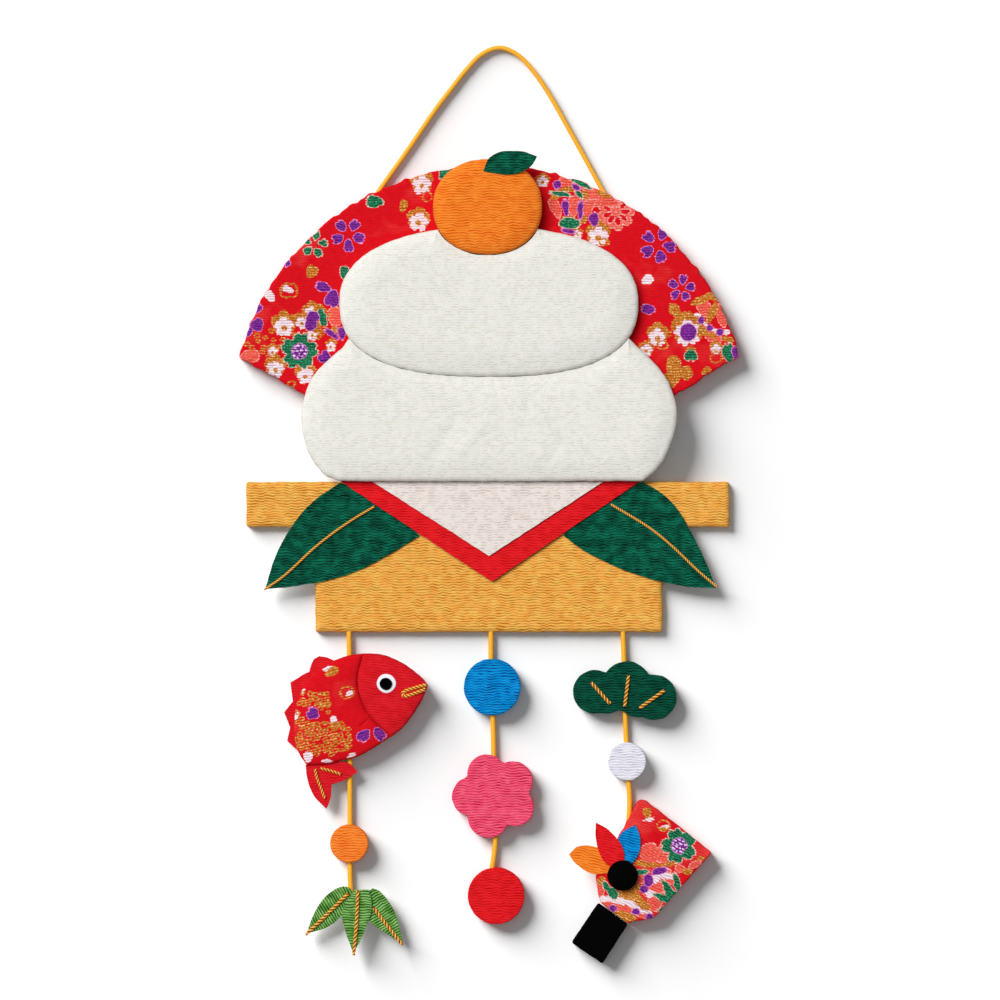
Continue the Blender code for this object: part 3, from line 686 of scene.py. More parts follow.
def wall(skin, loop, normals, reach, edge, back):
    """Carries the cloth from a panel's edge down to its back, and closes the back."""
    count = len(loop)
    brim = skin.points[edge, 2]
    tuck = TUCK if brim.max() - back > THIN_NODE else 0.0
    levels = max(1, round((brim.max() - back) / WALL_STEP))
    points, flats, facings = [skin.points], [skin.flat], [skin.facing]
    above, base = edge, len(skin.points)
    steps = [(0.0, brim + (back + tuck - brim) * k / levels) for k in range(1, levels + 1)]
    if tuck:
        steps.append((tuck, np.full(count, back)))
    for inset, z in steps:
        points.append(np.column_stack([loop - normals * (reach * inset)[:, None], z]))
        flats.append(skin.flat[edge] + normals * (brim - z + inset)[:, None])
        facings.append(np.column_stack([normals, np.full(count, TUCK_FACING if inset else 0.0)]))
        below = base + np.arange(count)
        following, under = np.roll(above, -1), np.roll(below, -1)
        skin.faces += zip(above.tolist(), below.tolist(), under.tolist(), following.tolist())
        above = below
        base += count
    skin.faces.append(above.tolist()[::-1])
    facing = np.concatenate(facings)
    facing /= np.linalg.norm(facing, axis=1)[:, None]
    return Skin(np.concatenate(points), skin.faces, np.concatenate(flats), facing)


def build_skin(loop, back, top, rim, slope, cloth, butts, hidden, crown):
    """Lays cloth over a panel: a front that may be crowned, a gentle slope and a rounded rim, each
    of some width and height, and a wall. Slope and rim stop where the outline butts against
    another one."""
    width, height = rim
    count = len(loop)
    normals, reach = outward(loop), inset_reach(loop)
    soft = np.ones(count)
    if butts is not None:
        soft = (to_outline(loop, butts, outward(butts))[0] > BUTT_REACH).astype(float)
        for _ in range(12):
            soft = (np.roll(soft, 1) + soft + np.roll(soft, -1)) / 3
    rounds = round(math.pi / 4 * (width + height) / RIM_STEP) if width else 0
    rings = []
    for k in range(1, rounds + 1):
        inset = width * (1 - math.cos(math.pi / 2 * k / rounds))
        ring = loop - normals * (reach * inset)[:, None]
        away = to_outline(ring, loop, normals)[0]
        clear = away > inset * 0.985  # where the outline is narrow, a ring would cross itself
        rings.append(ring[clear & is_inside(ring, loop)])
    grid = crinkle_grid(cloth, loop.min(0), loop.max(0))
    grid = grid[is_inside(grid, loop)]
    for above in hidden:
        grid = grid[~is_inside(grid, above)]
    grid = grid[to_outline(grid, loop, normals)[0] > width + RIM_CLEAR]
    plan = np.concatenate([loop, *rings, grid])
    border = [(i, (i + 1) % count) for i in range(count)]
    found = delaunay_2d_cdt([Vector(point) for point in plan.tolist()], border, [], 1, 1e-7)
    places = np.array([tuple(point) for point in found[0]])
    index = {first: i for i, origins in enumerate(found[3]) for first in origins if first < count}
    edge = np.array([index[i] for i in range(count)])

    away, facing, place = to_outline(places, loop, normals)
    away[edge] = 0
    softness = np.interp(place, np.arange(count + 1), np.append(soft, soft[0]))
    steep = np.clip(1 - away / width, 0, 1) if width else np.zeros(len(places))
    rise = np.sqrt(1 - steep**2)
    heights = top - softness * height * (1 - rise)
    if slope[0]:
        heights -= softness * slope[1] * np.clip(1 - away / slope[0], 0, 1) ** 2
    if crown is not None:
        blend = np.clip(away / CROWN_START, 0, 1)
        heights = heights + crown(places) * blend * blend * (3 - 2 * blend)
    wrapped = softness * ((width + height) / 2 * np.arcsin(steep) - width * steep)
    lean = np.column_stack([facing * (steep * softness)[:, None], 1 - softness * (1 - rise)])
    lean /= np.linalg.norm(lean, axis=1)[:, None]
    front = Skin(
        np.column_stack([places, heights]),
        [tuple(face) for face in found[2]],
        places + facing * wrapped[:, None],
        lean,
    )
    return wall(front, loop, normals, reach, edge, back)


def panel(name, material, cloth, rim=(0.0, 0.0), slope=(0.0, 0.0), blunt=0.0, grow=0.0,
          rough=0.1, butts=None, covers=(), crown=None, inks=None):
    """One cloth-covered piece in place of its CAD node. Its outline may have blunted corners, be a
    little rough, and grow to close a gap. Its front has no crinkles where another piece covers it."""
    back, top = node_heights(name)
    loop = node_outline(name)
    if blunt:
        loop = blunted(loop, blunt)
    loop = uneven(smoothed(loop), rough, cloth.seed)
    if grow:
        loop = shrunk(loop, -grow)
    hidden = [shrunk(node_outline(above), COVER_INSET) for above in covers]
    edging = smoothed(node_outline(butts)) if butts else None
    skin = build_skin(loop, back, top, rim, slope, cloth, edging, hidden, crown)
    along, row, marked = rows_at(cloth, *skin.flat.T)
    ridge = 1 - (0.5 - 0.5 * np.cos(2 * math.pi * row)) * marked
    lift = cloth.depth * (ridge - CLOTH_LEVEL) * (skin.facing[:, 2] > -0.5)  # but not at the back
    points = skin.points + skin.facing * lift[:, None]
    piece = new_piece(name + "_cloth", points, skin.faces, [material, BACKING_CARD], name)
    piece.data.polygons[len(skin.faces) - 1].material_index = 1
    piece.data.set_sharp_from_angle(angle=CREASE_ANGLE)
    write_vectors(piece, "weave", np.column_stack([along, row, marked]))
    if inks is not None:
        low, high = inks(*skin.flat.T)
        write_vectors(piece, "ink_low", low)
        write_vectors(piece, "ink_high", high)


# ---------------------------------------------------------------- flower print

LOW_INKS = ("white", "coral", "gold")  # as the attribute ink_low holds them
HIGH_INKS = ("green", "purple", "pale")  # and ink_high
FAR = 5.0  # from an ink's edge, and further makes no difference
WOBBLE = 0.3  # of drawn shapes
WOBBLE_LUMP = 1.3
LOOP_ROWS = 1.75  # between the rows of gold loops
LOOP_COLUMNS = 1.95
LINE = 0.24  # half as wide as a gold ring's line


class Print:
    """Distances in mm to the edge of each ink, negative inside it, over places on a cloth."""

    def __init__(self, x, y, seed):
        self.x = x + WOBBLE * noise(x / WOBBLE_LUMP, y / WOBBLE_LUMP, seed)
        self.y = y + WOBBLE * noise(x / WOBBLE_LUMP, y / WOBBLE_LUMP, seed + 1)
        self.inks = {ink: np.full(len(x), FAR) for ink in LOW_INKS + HIGH_INKS}

    def near(self, x, y, reach, turn=0.0):
        """Which places lie near a point, and where they are from it after a turn."""
        close = np.flatnonzero((np.abs(self.x - x) < reach) & (np.abs(self.y - y) < reach))
        return close, *turned(self.x[close] - x, self.y[close] - y, -turn)

    def lay(self, ink, close, distance):
        self.inks[ink][close] = np.minimum(self.inks[ink][close], distance)

    def clear(self, ink, close, distance):
        """Keeps an ink off a shape."""
        self.inks[ink][close] = np.maximum(self.inks[ink][close], -distance)

    def fields(self):
        """What the attributes ink_low and ink_high hold."""
        return [np.column_stack([self.inks[ink] for ink in inks]) for inks in (LOW_INKS, HIGH_INKS)]


def petal(u, v, start, end, half_width, notch):
    """Distance to a petal that points along u, with a bite out of its tip."""
    reach = (end - start) / 2
    out = (u - (start + end) / 2) / reach
    wide = half_width * (1 + 0.25 * np.clip(out, -1, 1))
    distance = (np.hypot(out, v / wide) - 1) * min(reach, half_width)
    return np.maximum(distance, notch - np.hypot(u - end - 0.1, v)) if notch else distance


def five_petals(u, v, start, end, half_width, notch):
    """Distance to a flower of five petals, one of them along u."""
    turn = np.round(np.arctan2(v, u) / (2 * math.pi / 5)) * (2 * math.pi / 5)
    along = u * np.cos(turn) + v * np.sin(turn)
    return petal(along, v * np.cos(turn) - u * np.sin(turn), start, end, half_width, notch)


def blossom(prints, x, y, radius, turn):
    """A white flower with a gold eye, on a gold one that shows above it."""
    close, u, v = prints.near(x, y, radius * 1.7, turn)
    petals = five_petals(u, v, 0, radius * 0.88, radius * 0.33, radius * 0.12)
    white = np.minimum(petals, np.hypot(u, v) - radius * 0.35)
    up_u, up_v = turned(0, radius * 0.3, -turn)
    gold = five_petals(u - up_u, v - up_v, 0, radius * 1.05, radius * 0.44, radius * 0.1)
    eye = np.hypot(u + up_u * 0.4, v + up_v * 0.4) - radius * 0.22
    prints.lay("white", close, white)
    prints.lay("gold", close, np.minimum(np.maximum(gold, -white), eye))


def line_flower(prints, x, y, radius, count):
    """A flower drawn in pale lines, of many thin petals."""
    close, u, v = prints.near(x, y, radius + 1)
    step = 2 * math.pi / count
    turn = np.round(np.arctan2(v, u) / step) * step
    along, aside = u * np.cos(turn) + v * np.sin(turn), v * np.cos(turn) - u * np.sin(turn)
    outline = petal(along, aside, radius * 0.15, radius, radius * 0.22, 0)
    prints.lay("coral", close, np.abs(outline) - 0.2)


def sakura(prints, x, y, radius, turn, ink):
    """Five separate notched petals."""
    close, u, v = prints.near(x, y, radius * 1.4, turn)
    size = (radius * 0.32, radius, radius * 0.26, radius * 0.13)
    prints.lay(ink, close, five_petals(u, v, *size))


def plum(prints, x, y, radius, turn):
    """A green flower with a speckled purple heart."""
    close, u, v = prints.near(x, y, radius * 1.4, turn)
    green = five_petals(u, v, 0, radius, radius * 0.37, radius * 0.14)
    heart = np.hypot(u, v) - radius * 0.44
    prints.lay("green", close, np.minimum(green, heart))
    prints.lay("purple", close, heart + 0.15)
    for share, count in ((0.13, 3), (0.34, 9)):
        for angle in np.arange(count) * 2 * math.pi / count + share * 9:
            speck_u, speck_v = radius * share * math.cos(angle), radius * share * math.sin(angle)
            prints.lay("pale", close, np.hypot(u - speck_u, v - speck_v) - 0.4)


def loops(prints, x, y, half_width, half_height):
    """A patch of small gold loops, scribbled close together."""
    random = np.random.default_rng(5)
    for row in np.arange(-half_height, half_height, LOOP_ROWS):
        for column in np.arange(-half_width, half_width, LOOP_COLUMNS):
            u, v = column + random.uniform(-0.5, 0.5), row + random.uniform(-0.45, 0.45)
            if (u / half_width) ** 4 + (v / half_height) ** 4 < 1:
                ring(prints, x + u, y + v, random.uniform(0.5, 0.8))


def ring(prints, x, y, radius):
    """A gold line in a slightly flattened ring."""
    close, u, v = prints.near(x, y, radius + 1.5)
    prints.lay("gold", close, np.abs(np.hypot(u, v * 1.2) - radius * 1.1) - LINE)


def stamp_petals(prints, inks):
    """Single petals and leaves of some inks, from (x, y, length, width, direction) each."""
    for ink, rows in inks.items():
        for x, y, length, width, turn in rows:
            close, u, v = prints.near(x, y, length + 1, turn)
            notch = width * 0.18 if ink in ("purple", "green") else 0.0
            prints.lay(ink, close, petal(u, v, -length / 2, length / 2, width / 2, notch))


def stamp_patches(prints, inks):
    """Oval patches of some inks, from (x, y, half length, half width, direction) each."""
    for ink, rows in inks.items():
        for x, y, half_length, half_width, turn in rows:
            close, u, v = prints.near(x, y, half_length + 1.5, turn)
            size = min(half_length, half_width)
            prints.lay(ink, close, (np.hypot(u / half_length, v / half_width) - 1) * size)


FAN_BLOSSOMS = (
    (-22.5, 124.1, 3.8, 90), (-23.6, 111.7, 3.8, 80), (-68.4, 76.9, 4.0, 95),
    (-71.2, 62.8, 3.5, 85), (-61.2, 60.5, 3.5, 100), (-72.1, 68.4, 2.0, 90),
    (-58.8, 74.1, 2.2, 80), (-59.3, 81.2, 3.2, 90), (-62.5, 78.1, 2.7, 60),
    (-52.7, 70.1, 2.0, 90), (17.8, 125.1, 2.3, 90), (36.2, 106.9, 4.0, 85),
    (55.9, 73.4, 3.7, 90), (52.2, 68.9, 2.5, 80), (75.3, 69.1, 2.2, 90),
    (66.0, 74.8, 5.3, 95), (29.3, 107.8, 1.8, 90),
)
FAN_PETALS = {
    "green": (
        (-38.1, 118.3, 5.7, 3.7, 175), (-48.3, 94.8, 4.3, 3.0, 80), (66.9, 67.2, 3.7, 4.0, 270),
        (79.6, 68.0, 6.0, 4.0, 100), (-15.2, 127.9, 4.3, 2.7, 60), (-13.2, 129.2, 2.7, 1.3, 30),
    ),
    "gold": (
        (-28.7, 117.0, 4.0, 2.5, 75), (-59.3, 95.0, 4.3, 3.7, 60), (62.0, 81.8, 6.0, 3.3, 120),
        (66.9, 69.1, 2.7, 3.3, 80), (74.0, 81.2, 7.0, 2.7, 65), (61.0, 64.1, 6.0, 4.6, 60),
        (64.8, 61.4, 5.4, 4.6, 0), (60.5, 59.4, 5.4, 5.4, 90),
    ),
    "purple": (
        (-77.3, 77.3, 4.3, 4.0, 120), (-77.0, 82.7, 2.7, 1.7, 60), (-80.1, 75.0, 3.0, 1.7, 70),
        (-67.3, 97.9, 2.3, 1.3, 60), (-55.3, 89.9, 5.0, 3.0, 160), (-52.3, 86.2, 5.7, 4.3, 250),
        (-49.0, 74.5, 4.3, 2.3, 90), (-52.5, 74.3, 4.7, 1.7, 140), (-54.9, 66.6, 4.0, 3.7, 130),
        (34.8, 112.5, 4.3, 3.0, 100), (52.9, 82.5, 4.3, 3.0, 165), (25.3, 116.2, 5.0, 2.0, 95),
        (30.2, 115.5, 5.3, 1.7, 88), (82.0, 68.0, 4.0, 2.3, 90),
    ),
    "white": ((-73.1, 86.9, 4.3, 2.7, 120), (-67.0, 89.2, 4.0, 2.3, 165), (52.6, 92.4, 4.0, 3.0, 35)),
    "coral": (
        (-51.4, 79.9, 6.7, 4.0, 95), (27.8, 116.7, 7.0, 3.0, 88), (22.0, 116.2, 6.7, 3.0, 110),
        (32.7, 116.0, 6.0, 2.7, 80), (77.4, 80.5, 7.3, 3.7, 100), (71.8, 82.5, 5.7, 4.0, 120),
        (-79.9, 66.8, 6.3, 4.0, 20),
    ),
}
FAN_PATCHES = {
    "green": (
        (-55.7, 79.8, 1.3, 3.3, 15), (23.8, 121.0, 3.0, 0.7, -10), (29.9, 120.9, 1.7, 0.7, -50),
        (30.2, 124.7, 3.7, 0.8, -28), (26.7, 111.2, 3.3, 1.7, 0),
    ),
    "gold": (
        (-57.0, 82.4, 1.7, 2.0, 0), (-51.6, 75.5, 1.3, 1.3, 0), (24.6, 122.1, 3.7, 1.2, 15),
        (31.8, 120.7, 1.3, 1.7, 0), (38.1, 120.7, 2.7, 0.8, -20), (26.2, 112.9, 2.0, 0.8, 0),
        (31.3, 112.5, 1.3, 1.3, 0), (21.8, 120.1, 1.7, 1.0, 20), (70.5, 85.8, 3.7, 1.3, 25),
        (75.2, 86.6, 3.0, 1.3, -15), (71.3, 75.4, 2.0, 1.7, 0), (74.5, 73.8, 1.3, 1.0, 0),
        (79.3, 72.5, 2.0, 1.0, -20), (72.0, 62.0, 1.7, 1.0, 30), (-57.7, 76.6, 1.7, 2.0, 0),
    ),
    "coral": (
        (34.6, 121.4, 2.3, 2.0, -20), (39.0, 118.8, 4.0, 1.3, -15), (25.5, 125.1, 2.3, 1.7, 0),
        (74.5, 73.4, 2.7, 1.7, -20),
    ),
    "purple": (
        (22.4, 124.0, 1.3, 1.0, 40), (28.8, 123.3, 1.3, 0.7, -30), (26.2, 108.5, 2.0, 0.7, -15),
        (70.5, 78.8, 1.0, 1.1, 0), (73.5, 76.4, 1.0, 1.1, 0), (76.7, 75.1, 1.0, 1.1, 0),
        (-58.8, 80.1, 2.0, 1.8, 0), (-59.5, 77.4, 2.0, 2.0, 0), (66.1, 74.9, 2.7, 2.7, 0),
    ),
    "white": (
        (71.8, 77.8, 0.8, 0.8, 0), (75.0, 75.8, 1.1, 0.7, -20), (78.7, 74.9, 1.3, 0.8, 0),
        (69.2, 80.4, 0.9, 0.8, 0),
    ),
}
FAN_RINGS = (
    (-66.8, 88.8, 2.6), (-74.5, 73.1, 0.6), (-77.6, 73.8, 0.7), (-77.1, 72.0, 0.6),
    (-80.8, 71.0, 0.8), (-79.0, 69.9, 0.7), (-75.2, 69.9, 0.7), (-72.6, 75.5, 0.7),
    (-71.8, 72.4, 0.6), (-69.5, 70.4, 0.6), (-73.2, 66.8, 0.8), (-70.5, 66.1, 0.8),
    (-75.5, 68.4, 0.6), (-65.8, 57.8, 1.1), (57.5, 70.8, 1.6), (59.5, 74.4, 1.1),
    (75.4, 66.6, 1.8), (38.2, 104.8, 1.3), (-68.8, 72.4, 0.7), (-63.2, 73.4, 1.1),
    (-20.8, 120.1, 1.5), (-54.8, 82.0, 0.7), (-51.5, 83.7, 0.7), (-53.4, 80.6, 0.6),
    (-55.9, 74.6, 0.6), (-54.6, 76.2, 0.6), (-56.9, 73.2, 0.6), (-64.8, 74.0, 0.7),
)


def fan_print(x, y):
    prints = Print(x, y, 301)
    for row in FAN_BLOSSOMS:
        blossom(prints, *row)
    sakura(prints, -47.0, 107.4, 5.6, 56, "purple")
    sakura(prints, 56.1, 103.9, 6.0, 66, "purple")
    sakura(prints, 63.9, 89.6, 4.5, 80, "purple")
    sakura(prints, -58.3, 104.2, 4.5, 79, "green")
    stamp_petals(prints, FAN_PETALS)
    stamp_patches(prints, FAN_PATCHES)
    for row in FAN_RINGS:
        ring(prints, *row)
    plum(prints, -63.3, 68.5, 6.2, 83)
    line_flower(prints, 42.1, 115.1, 5.5, 9)
    line_flower(prints, 33.0, 121.0, 4.5, 9)
    return prints.fields()


BREAM_PETALS = {
    "gold": ((-52.5, -38.2, 4.7, 2.7, 30), (-51.2, -55.6, 2.7, 1.7, 0)),
    "white": (
        (-54.0, -37.1, 3.3, 1.7, 25), (-62.2, -44.5, 1.7, 1.0, 60), (-46.6, -45.2, 2.7, 1.5, 30),
        (-51.7, -54.1, 2.7, 2.0, 100), (-64.3, -52.5, 3.0, 1.3, 80), (-60.3, -66.5, 3.3, 3.0, 90),
        (-54.2, -67.8, 3.3, 1.3, 0), (-45.9, -65.9, 2.7, 1.3, 30),
    ),
    "purple": (
        (-58.7, -52.0, 4.3, 3.7, 150), (-41.8, -59.2, 4.7, 3.7, 235), (-36.6, -58.8, 4.7, 3.5, 310),
    ),
}


def bream_print(x, y):
    prints = Print(x, y, 311)
    loops(prints, -55.7, -59.8, 9.0, 6.0)
    loops(prints, -58.0, -47.4, 5.8, 3.2)
    loops(prints, -53.9, -50.4, 1.6, 2.2)
    loops(prints, -62.9, -52.6, 1.2, 2.4)
    ring(prints, -47.5, -44.9, 2.1)
    close, u, v = prints.near(-58.7, -52.0, 4)
    prints.clear("gold", close, np.hypot(u, v) - 2.6)  # round the purple petal
    stamp_petals(prints, BREAM_PETALS)
    return prints.fields()


BATTLEDORE_PETALS = {
    "gold": ((52.4, -85.1, 3.3, 3.0, 90), (57.8, -90.6, 2.0, 1.3, 0)),
    "white": ((53.0, -87.3, 3.7, 1.2, 10), (58.7, -89.7, 3.0, 1.3, 10)),
    "coral": ((53.2, -98.9, 7.6, 5.6, 95), (58.2, -98.6, 6.2, 5.2, 60)),
}
BATTLEDORE_PATCHES = {
    "gold": (
        (52.4, -102.2, 4.6, 0.9, -4), (49.6, -101.0, 2.2, 0.5, -10), (60.0, -102.0, 2.6, 0.7, 8),
        (46.3, -112.2, 4.2, 1.7, -12), (50.9, -115.2, 3.2, 1.5, -38), (37.2, -107.7, 1.3, 1.6, 0),
        (48.8, -110.0, 2.3, 1.2, 10), (44.2, -119.4, 4.6, 1.7, -8), (65.9, -104.6, 1.4, 1.2, 0),
        (70.3, -100.1, 1.4, 0.6, 20),
    ),
    "purple": (
        (56.6, -104.3, 2.4, 1.1, 15), (52.8, -107.4, 1.4, 2.0, 0), (51.5, -110.4, 1.2, 1.2, 0),
        (41.1, -116.7, 1.1, 1.0, 0), (48.6, -118.0, 1.2, 0.9, 0), (53.3, -119.6, 1.3, 0.9, 0),
    ),
    "white": (
        (58.4, -106.0, 3.4, 1.1, -6), (55.2, -107.0, 1.5, 1.5, 0), (53.6, -111.9, 2.4, 1.0, -8),
        (38.6, -113.6, 2.2, 1.0, 0), (42.4, -114.0, 2.8, 1.0, -6), (46.4, -115.0, 2.8, 1.1, -14),
        (50.0, -116.9, 2.6, 1.0, -26), (52.9, -118.4, 1.7, 0.8, -30),
    ),
    "coral": (
        (60.1, -106.9, 1.6, 1.6, 0), (55.6, -109.7, 2.9, 1.6, -10), (54.8, -115.2, 2.5, 2.6, -20),
        (50.4, -106.4, 1.7, 1.8, 0), (58.6, -104.3, 1.5, 0.8, 0), (36.9, -110.6, 1.3, 2.2, 0),
        (39.3, -115.5, 2.0, 1.2, -10), (44.4, -116.6, 2.8, 1.2, -12), (47.6, -118.0, 2.0, 1.0, -20),
        (51.2, -119.2, 2.0, 0.9, -20), (68.3, -102.2, 1.8, 0.9, 30), (63.4, -103.6, 1.4, 1.2, 0),
    ),
    "green": (
        (59.4, -110.2, 3.1, 1.1, -55), (62.4, -108.3, 3.1, 1.0, -75), (60.9, -112.4, 2.8, 1.3, -25),
        (57.9, -113.4, 3.3, 1.1, -22), (50.7, -104.7, 1.9, 0.8, 10), (40.9, -111.7, 2.3, 1.4, -50),
        (38.8, -109.4, 1.5, 0.9, -60), (58.2, -116.9, 2.0, 0.7, 20),
    ),
}


def battledore_print(x, y):
    prints = Print(x, y, 321)
    stamp_petals(prints, BATTLEDORE_PETALS)
    stamp_patches(prints, BATTLEDORE_PATCHES)
    ring(prints, 58.0, -89.2, 1.9)
    plum(prints, 63.1, -95.9, 6.0, 108)
    return prints.fields()


# ---------------------------------------------------------------- cords

# The yellow cords' routes, as the CAD part lays them, from where each is glued in.
LOOP_ROUTE = (
    (-40.4, 117.0), (-34.8, 125.1), (-27.2, 135.8), (-18.1, 149.1), (-12.0, 157.1),
    (-7.8, 162.4), (-2.6, 167.6), (3.2, 169.8), (9.0, 167.7), (14.3, 162.4), (19.8, 154.4),
    (25.8, 143.8), (31.8, 133.0), (36.2, 124.9), (40.4, 117.2),
)
LEFT_ROUTE = (
    (-46.8, -16.0), (-46.8, -24.9), (-46.7, -33.0), (-46.6, -50.0), (-46.5, -67.0),
    (-46.5, -78.0), (-46.5, -89.0), (-46.5, -95.3), (-46.5, -101.6), (-46.4, -108.0),
    (-46.0, -114.0),
)
CENTRE_ROUTE = (
    (0.5, -16.0), (0.5, -24.9), (0.5, -33.8), (0.8, -43.2), (1.1, -52.6), (1.3, -60.0),
    (1.4, -66.6), (1.9, -79.5), (2.0, -93.6), (1.6, -98.5), (0.9, -103.4), (0.6, -110.0),
)
RIGHT_ROUTE = (
    (44.5, -16.0), (44.5, -24.9), (44.8, -34.6), (45.0, -43.0), (45.2, -51.6),
    (45.6, -61.7), (45.9, -68.0), (46.3, -74.3), (46.7, -81.0), (46.4, -87.5),
    (45.8, -96.0),
)
LOOP_RADIUS = 0.75
STRING_RADIUS = 0.85
CORD_CLEAR = 0.05  # under a cord
CORD_STEP = 0.6
CORD_SIDES = 16
PATH_STEP = 4.0  # between the points of a cord's path

# The gold cords: name, mm for one turn of its twist, radius of a strand, and route.
GOLD_CORDS = (
    ("leaf_vein_left", 1.7, 0.22,
     ((-75.0, -10.8), (-68.2, -6.0), (-58.8, 2.7), (-52.2, 8.0), (-45.2, 12.8), (-38.2, 17.0))),
    ("leaf_vein_right", 1.7, 0.22,
     ((75.8, -9.9), (69.2, -4.3), (63.5, 1.2), (57.7, 6.4), (51.8, 10.8), (40.3, 17.7))),
    ("bamboo_vein_left", 3.0, 0.3,
     ((-61.2, -125.6), (-56.2, -120.9), (-51.4, -116.2), (-46.9, -111.8))),
    ("bamboo_vein_middle", 3.0, 0.3, ((-45.2, -132.4), (-44.2, -121.0), (-43.8, -110.8))),
    ("bamboo_vein_right", 3.0, 0.3, ((-29.0, -129.0), (-34.0, -122.6), (-38.6, -116.6))),
    ("pine_needle_left", 3.0, 0.3, ((33.8, -41.6), (40.2, -48.8))),
    ("pine_needle_middle", 3.0, 0.3, ((46.3, -39.2), (45.0, -49.7))),
    ("pine_needle_right", 3.0, 0.3, ((58.3, -44.2), (49.9, -50.2))),
    ("bream_mouth", 2.4, 0.3,
     ((-20.9, -42.3), (-24.6, -43.3), (-28.3, -44.6), (-28.9, -45.6), (-28.1, -46.2),
      (-24.4, -45.0), (-21.2, -43.7))),
    ("bream_tail_vein_outer", 2.4, 0.25,
     ((-58.1, -70.3), (-57.4, -73.4), (-56.0, -77.0), (-54.8, -80.3))),
    ("bream_tail_vein_inner", 2.4, 0.25, ((-56.4, -70.2), (-53.0, -71.0), (-49.4, -72.2))),
)
STRAND_SPREAD = 1.06  # from a cord's middle to each of its two strands, in radii of a strand
STRAND_STEP = 0.22
STRAND_SIDES = 10
STRAND_SHIFT = 50  # along the fibres, so that a cord's two strands differ
SINK = 0.2  # how far a gold cord is pressed into the cloth below it


def spaced_route(points, spacing):
    """Evenly spaced points along the smooth curve through a route's own points."""
    fine = []
    for i in range(len(points) - 1):
        before = Vector(points[max(i - 1, 0)])
        start = Vector(points[i])
        end = Vector(points[i + 1])
        after = Vector(points[min(i + 2, len(points) - 1)])
        reach = (end - start).length / 3
        leave = (end - before).normalized() * reach
        arrive = (after - start).normalized() * reach
        fine += interpolate_bezier(start, start + leave, end - arrive, end, 17)[:-1]
    fine.append(Vector(points[-1]))
    fine = np.array([tuple(point)[:2] for point in fine])
    reached = np.concatenate([[0], np.cumsum(np.linalg.norm(np.diff(fine, axis=0), axis=1))])
    wanted = np.linspace(0, reached[-1], round(reached[-1] / spacing) + 1)
    return np.column_stack([np.interp(wanted, reached, fine[:, k]) for k in (0, 1)])


def sideways(centres):
    """(distance along, level direction aside, direction over it) at each point of a line."""
    run = np.gradient(centres, axis=0)
    run /= np.linalg.norm(run, axis=1)[:, None]
    aside = np.column_stack([-run[:, 1], run[:, 0], np.zeros(len(run))])
    aside /= np.linalg.norm(aside, axis=1)[:, None]
    steps = np.linalg.norm(np.diff(centres, axis=0), axis=1)
    return np.concatenate([[0], np.cumsum(steps)]), aside, np.cross(run, aside)


def tube(centres, radius, sides, first):
    """A round tube with rounded ends, numbered from some point on: (points, faces, lay), where
    lay is the mm along it and the turn round it."""
    along, aside, over = sideways(centres)
    count = len(centres)
    to_end = np.minimum(np.minimum(along, along[-1] - along) / radius + 0.1, 1)
    width = (radius * np.sqrt(1 - (1 - to_end) ** 2))[:, None]
    points, lay, faces = [], [], []
    for k in range(sides):
        angle = 2 * math.pi * k / sides
        points.append(centres + (aside * math.cos(angle) + over * math.sin(angle)) * width)
        lay.append(np.column_stack([along, np.full(count, k / sides), np.zeros(count)]))
        this, following = first + k * count, first + (k + 1) % sides * count
        faces += [(this + i, this + i + 1, following + i + 1, following + i) for i in range(count - 1)]
    faces.append([first + k * count for k in range(sides)])
    faces.append([first + k * count + count - 1 for k in range(sides)][::-1])
    return np.concatenate(points), faces, np.concatenate(lay)


def yellow_cord(name, route, radius):
    """One free cord on the surface that the hanging lies on, from where it leaves the cloth."""
    z = CORD_CLEAR + radius
    flat = spaced_route(route, CORD_STEP)
    centres = np.column_stack([flat, np.full(len(flat), z)])
    points, faces, lay = tube(centres, radius, CORD_SIDES, 0)
    piece = new_piece(name + "_cord", points, faces, [YELLOW_CORD], name)
    write_vectors(piece, "lay", lay)
    path = spaced_route(route, PATH_STEP)


def twisted_cord(name, twist, radius, route):
    """One gold cord of two strands laid round each other."""
    back, top = node_heights(name)
    flat = spaced_route(route, STRAND_STEP)
    middle = np.column_stack([flat, np.full(len(flat), (back + top) / 2 - SINK)])
    along, aside, over = sideways(middle)
    parts, faces, lays, base = [], [], [], 0
    for start in (0, math.pi):
        angle = (2 * math.pi * along / twist + start)[:, None]
        strand = middle + (aside * np.cos(angle) + over * np.sin(angle)) * radius * STRAND_SPREAD
        points, more, lay = tube(strand, radius, STRAND_SIDES, base)
        # how far out from the cord's middle, which the gold material turns into painted light and
        # shade
        out = np.linalg.norm(points - np.tile(middle, (STRAND_SIDES, 1)), axis=1)
        out /= radius * (1 + STRAND_SPREAD)
        parts.append(points)
        faces += more
        lays.append(np.column_stack([lay[:, 0] + STRAND_SHIFT * start, lay[:, 1], out]))
        base += len(points)
    piece = new_piece(name + "_cord", np.concatenate(parts), faces, [GOLD_CORD], name)
    write_vectors(piece, "lay", np.concatenate(lays))


# ---------------------------------------------------------------- the hanging

PLAIN = Crepe()
MOCHI = Crepe(sway=0.24, depth=0.07, patchy=0.55, dash=1.1, seed=11)
PRINTED = Crepe(sway=0.24, depth=0.07, seed=21)
BAMBOO = Crepe(sway=0.22, patchy=0.15, seed=53)
PILE = Crepe(pitch=0.6, sway=0.3, depth=0.05, seed=31)  # the ripple of cloth with a pile

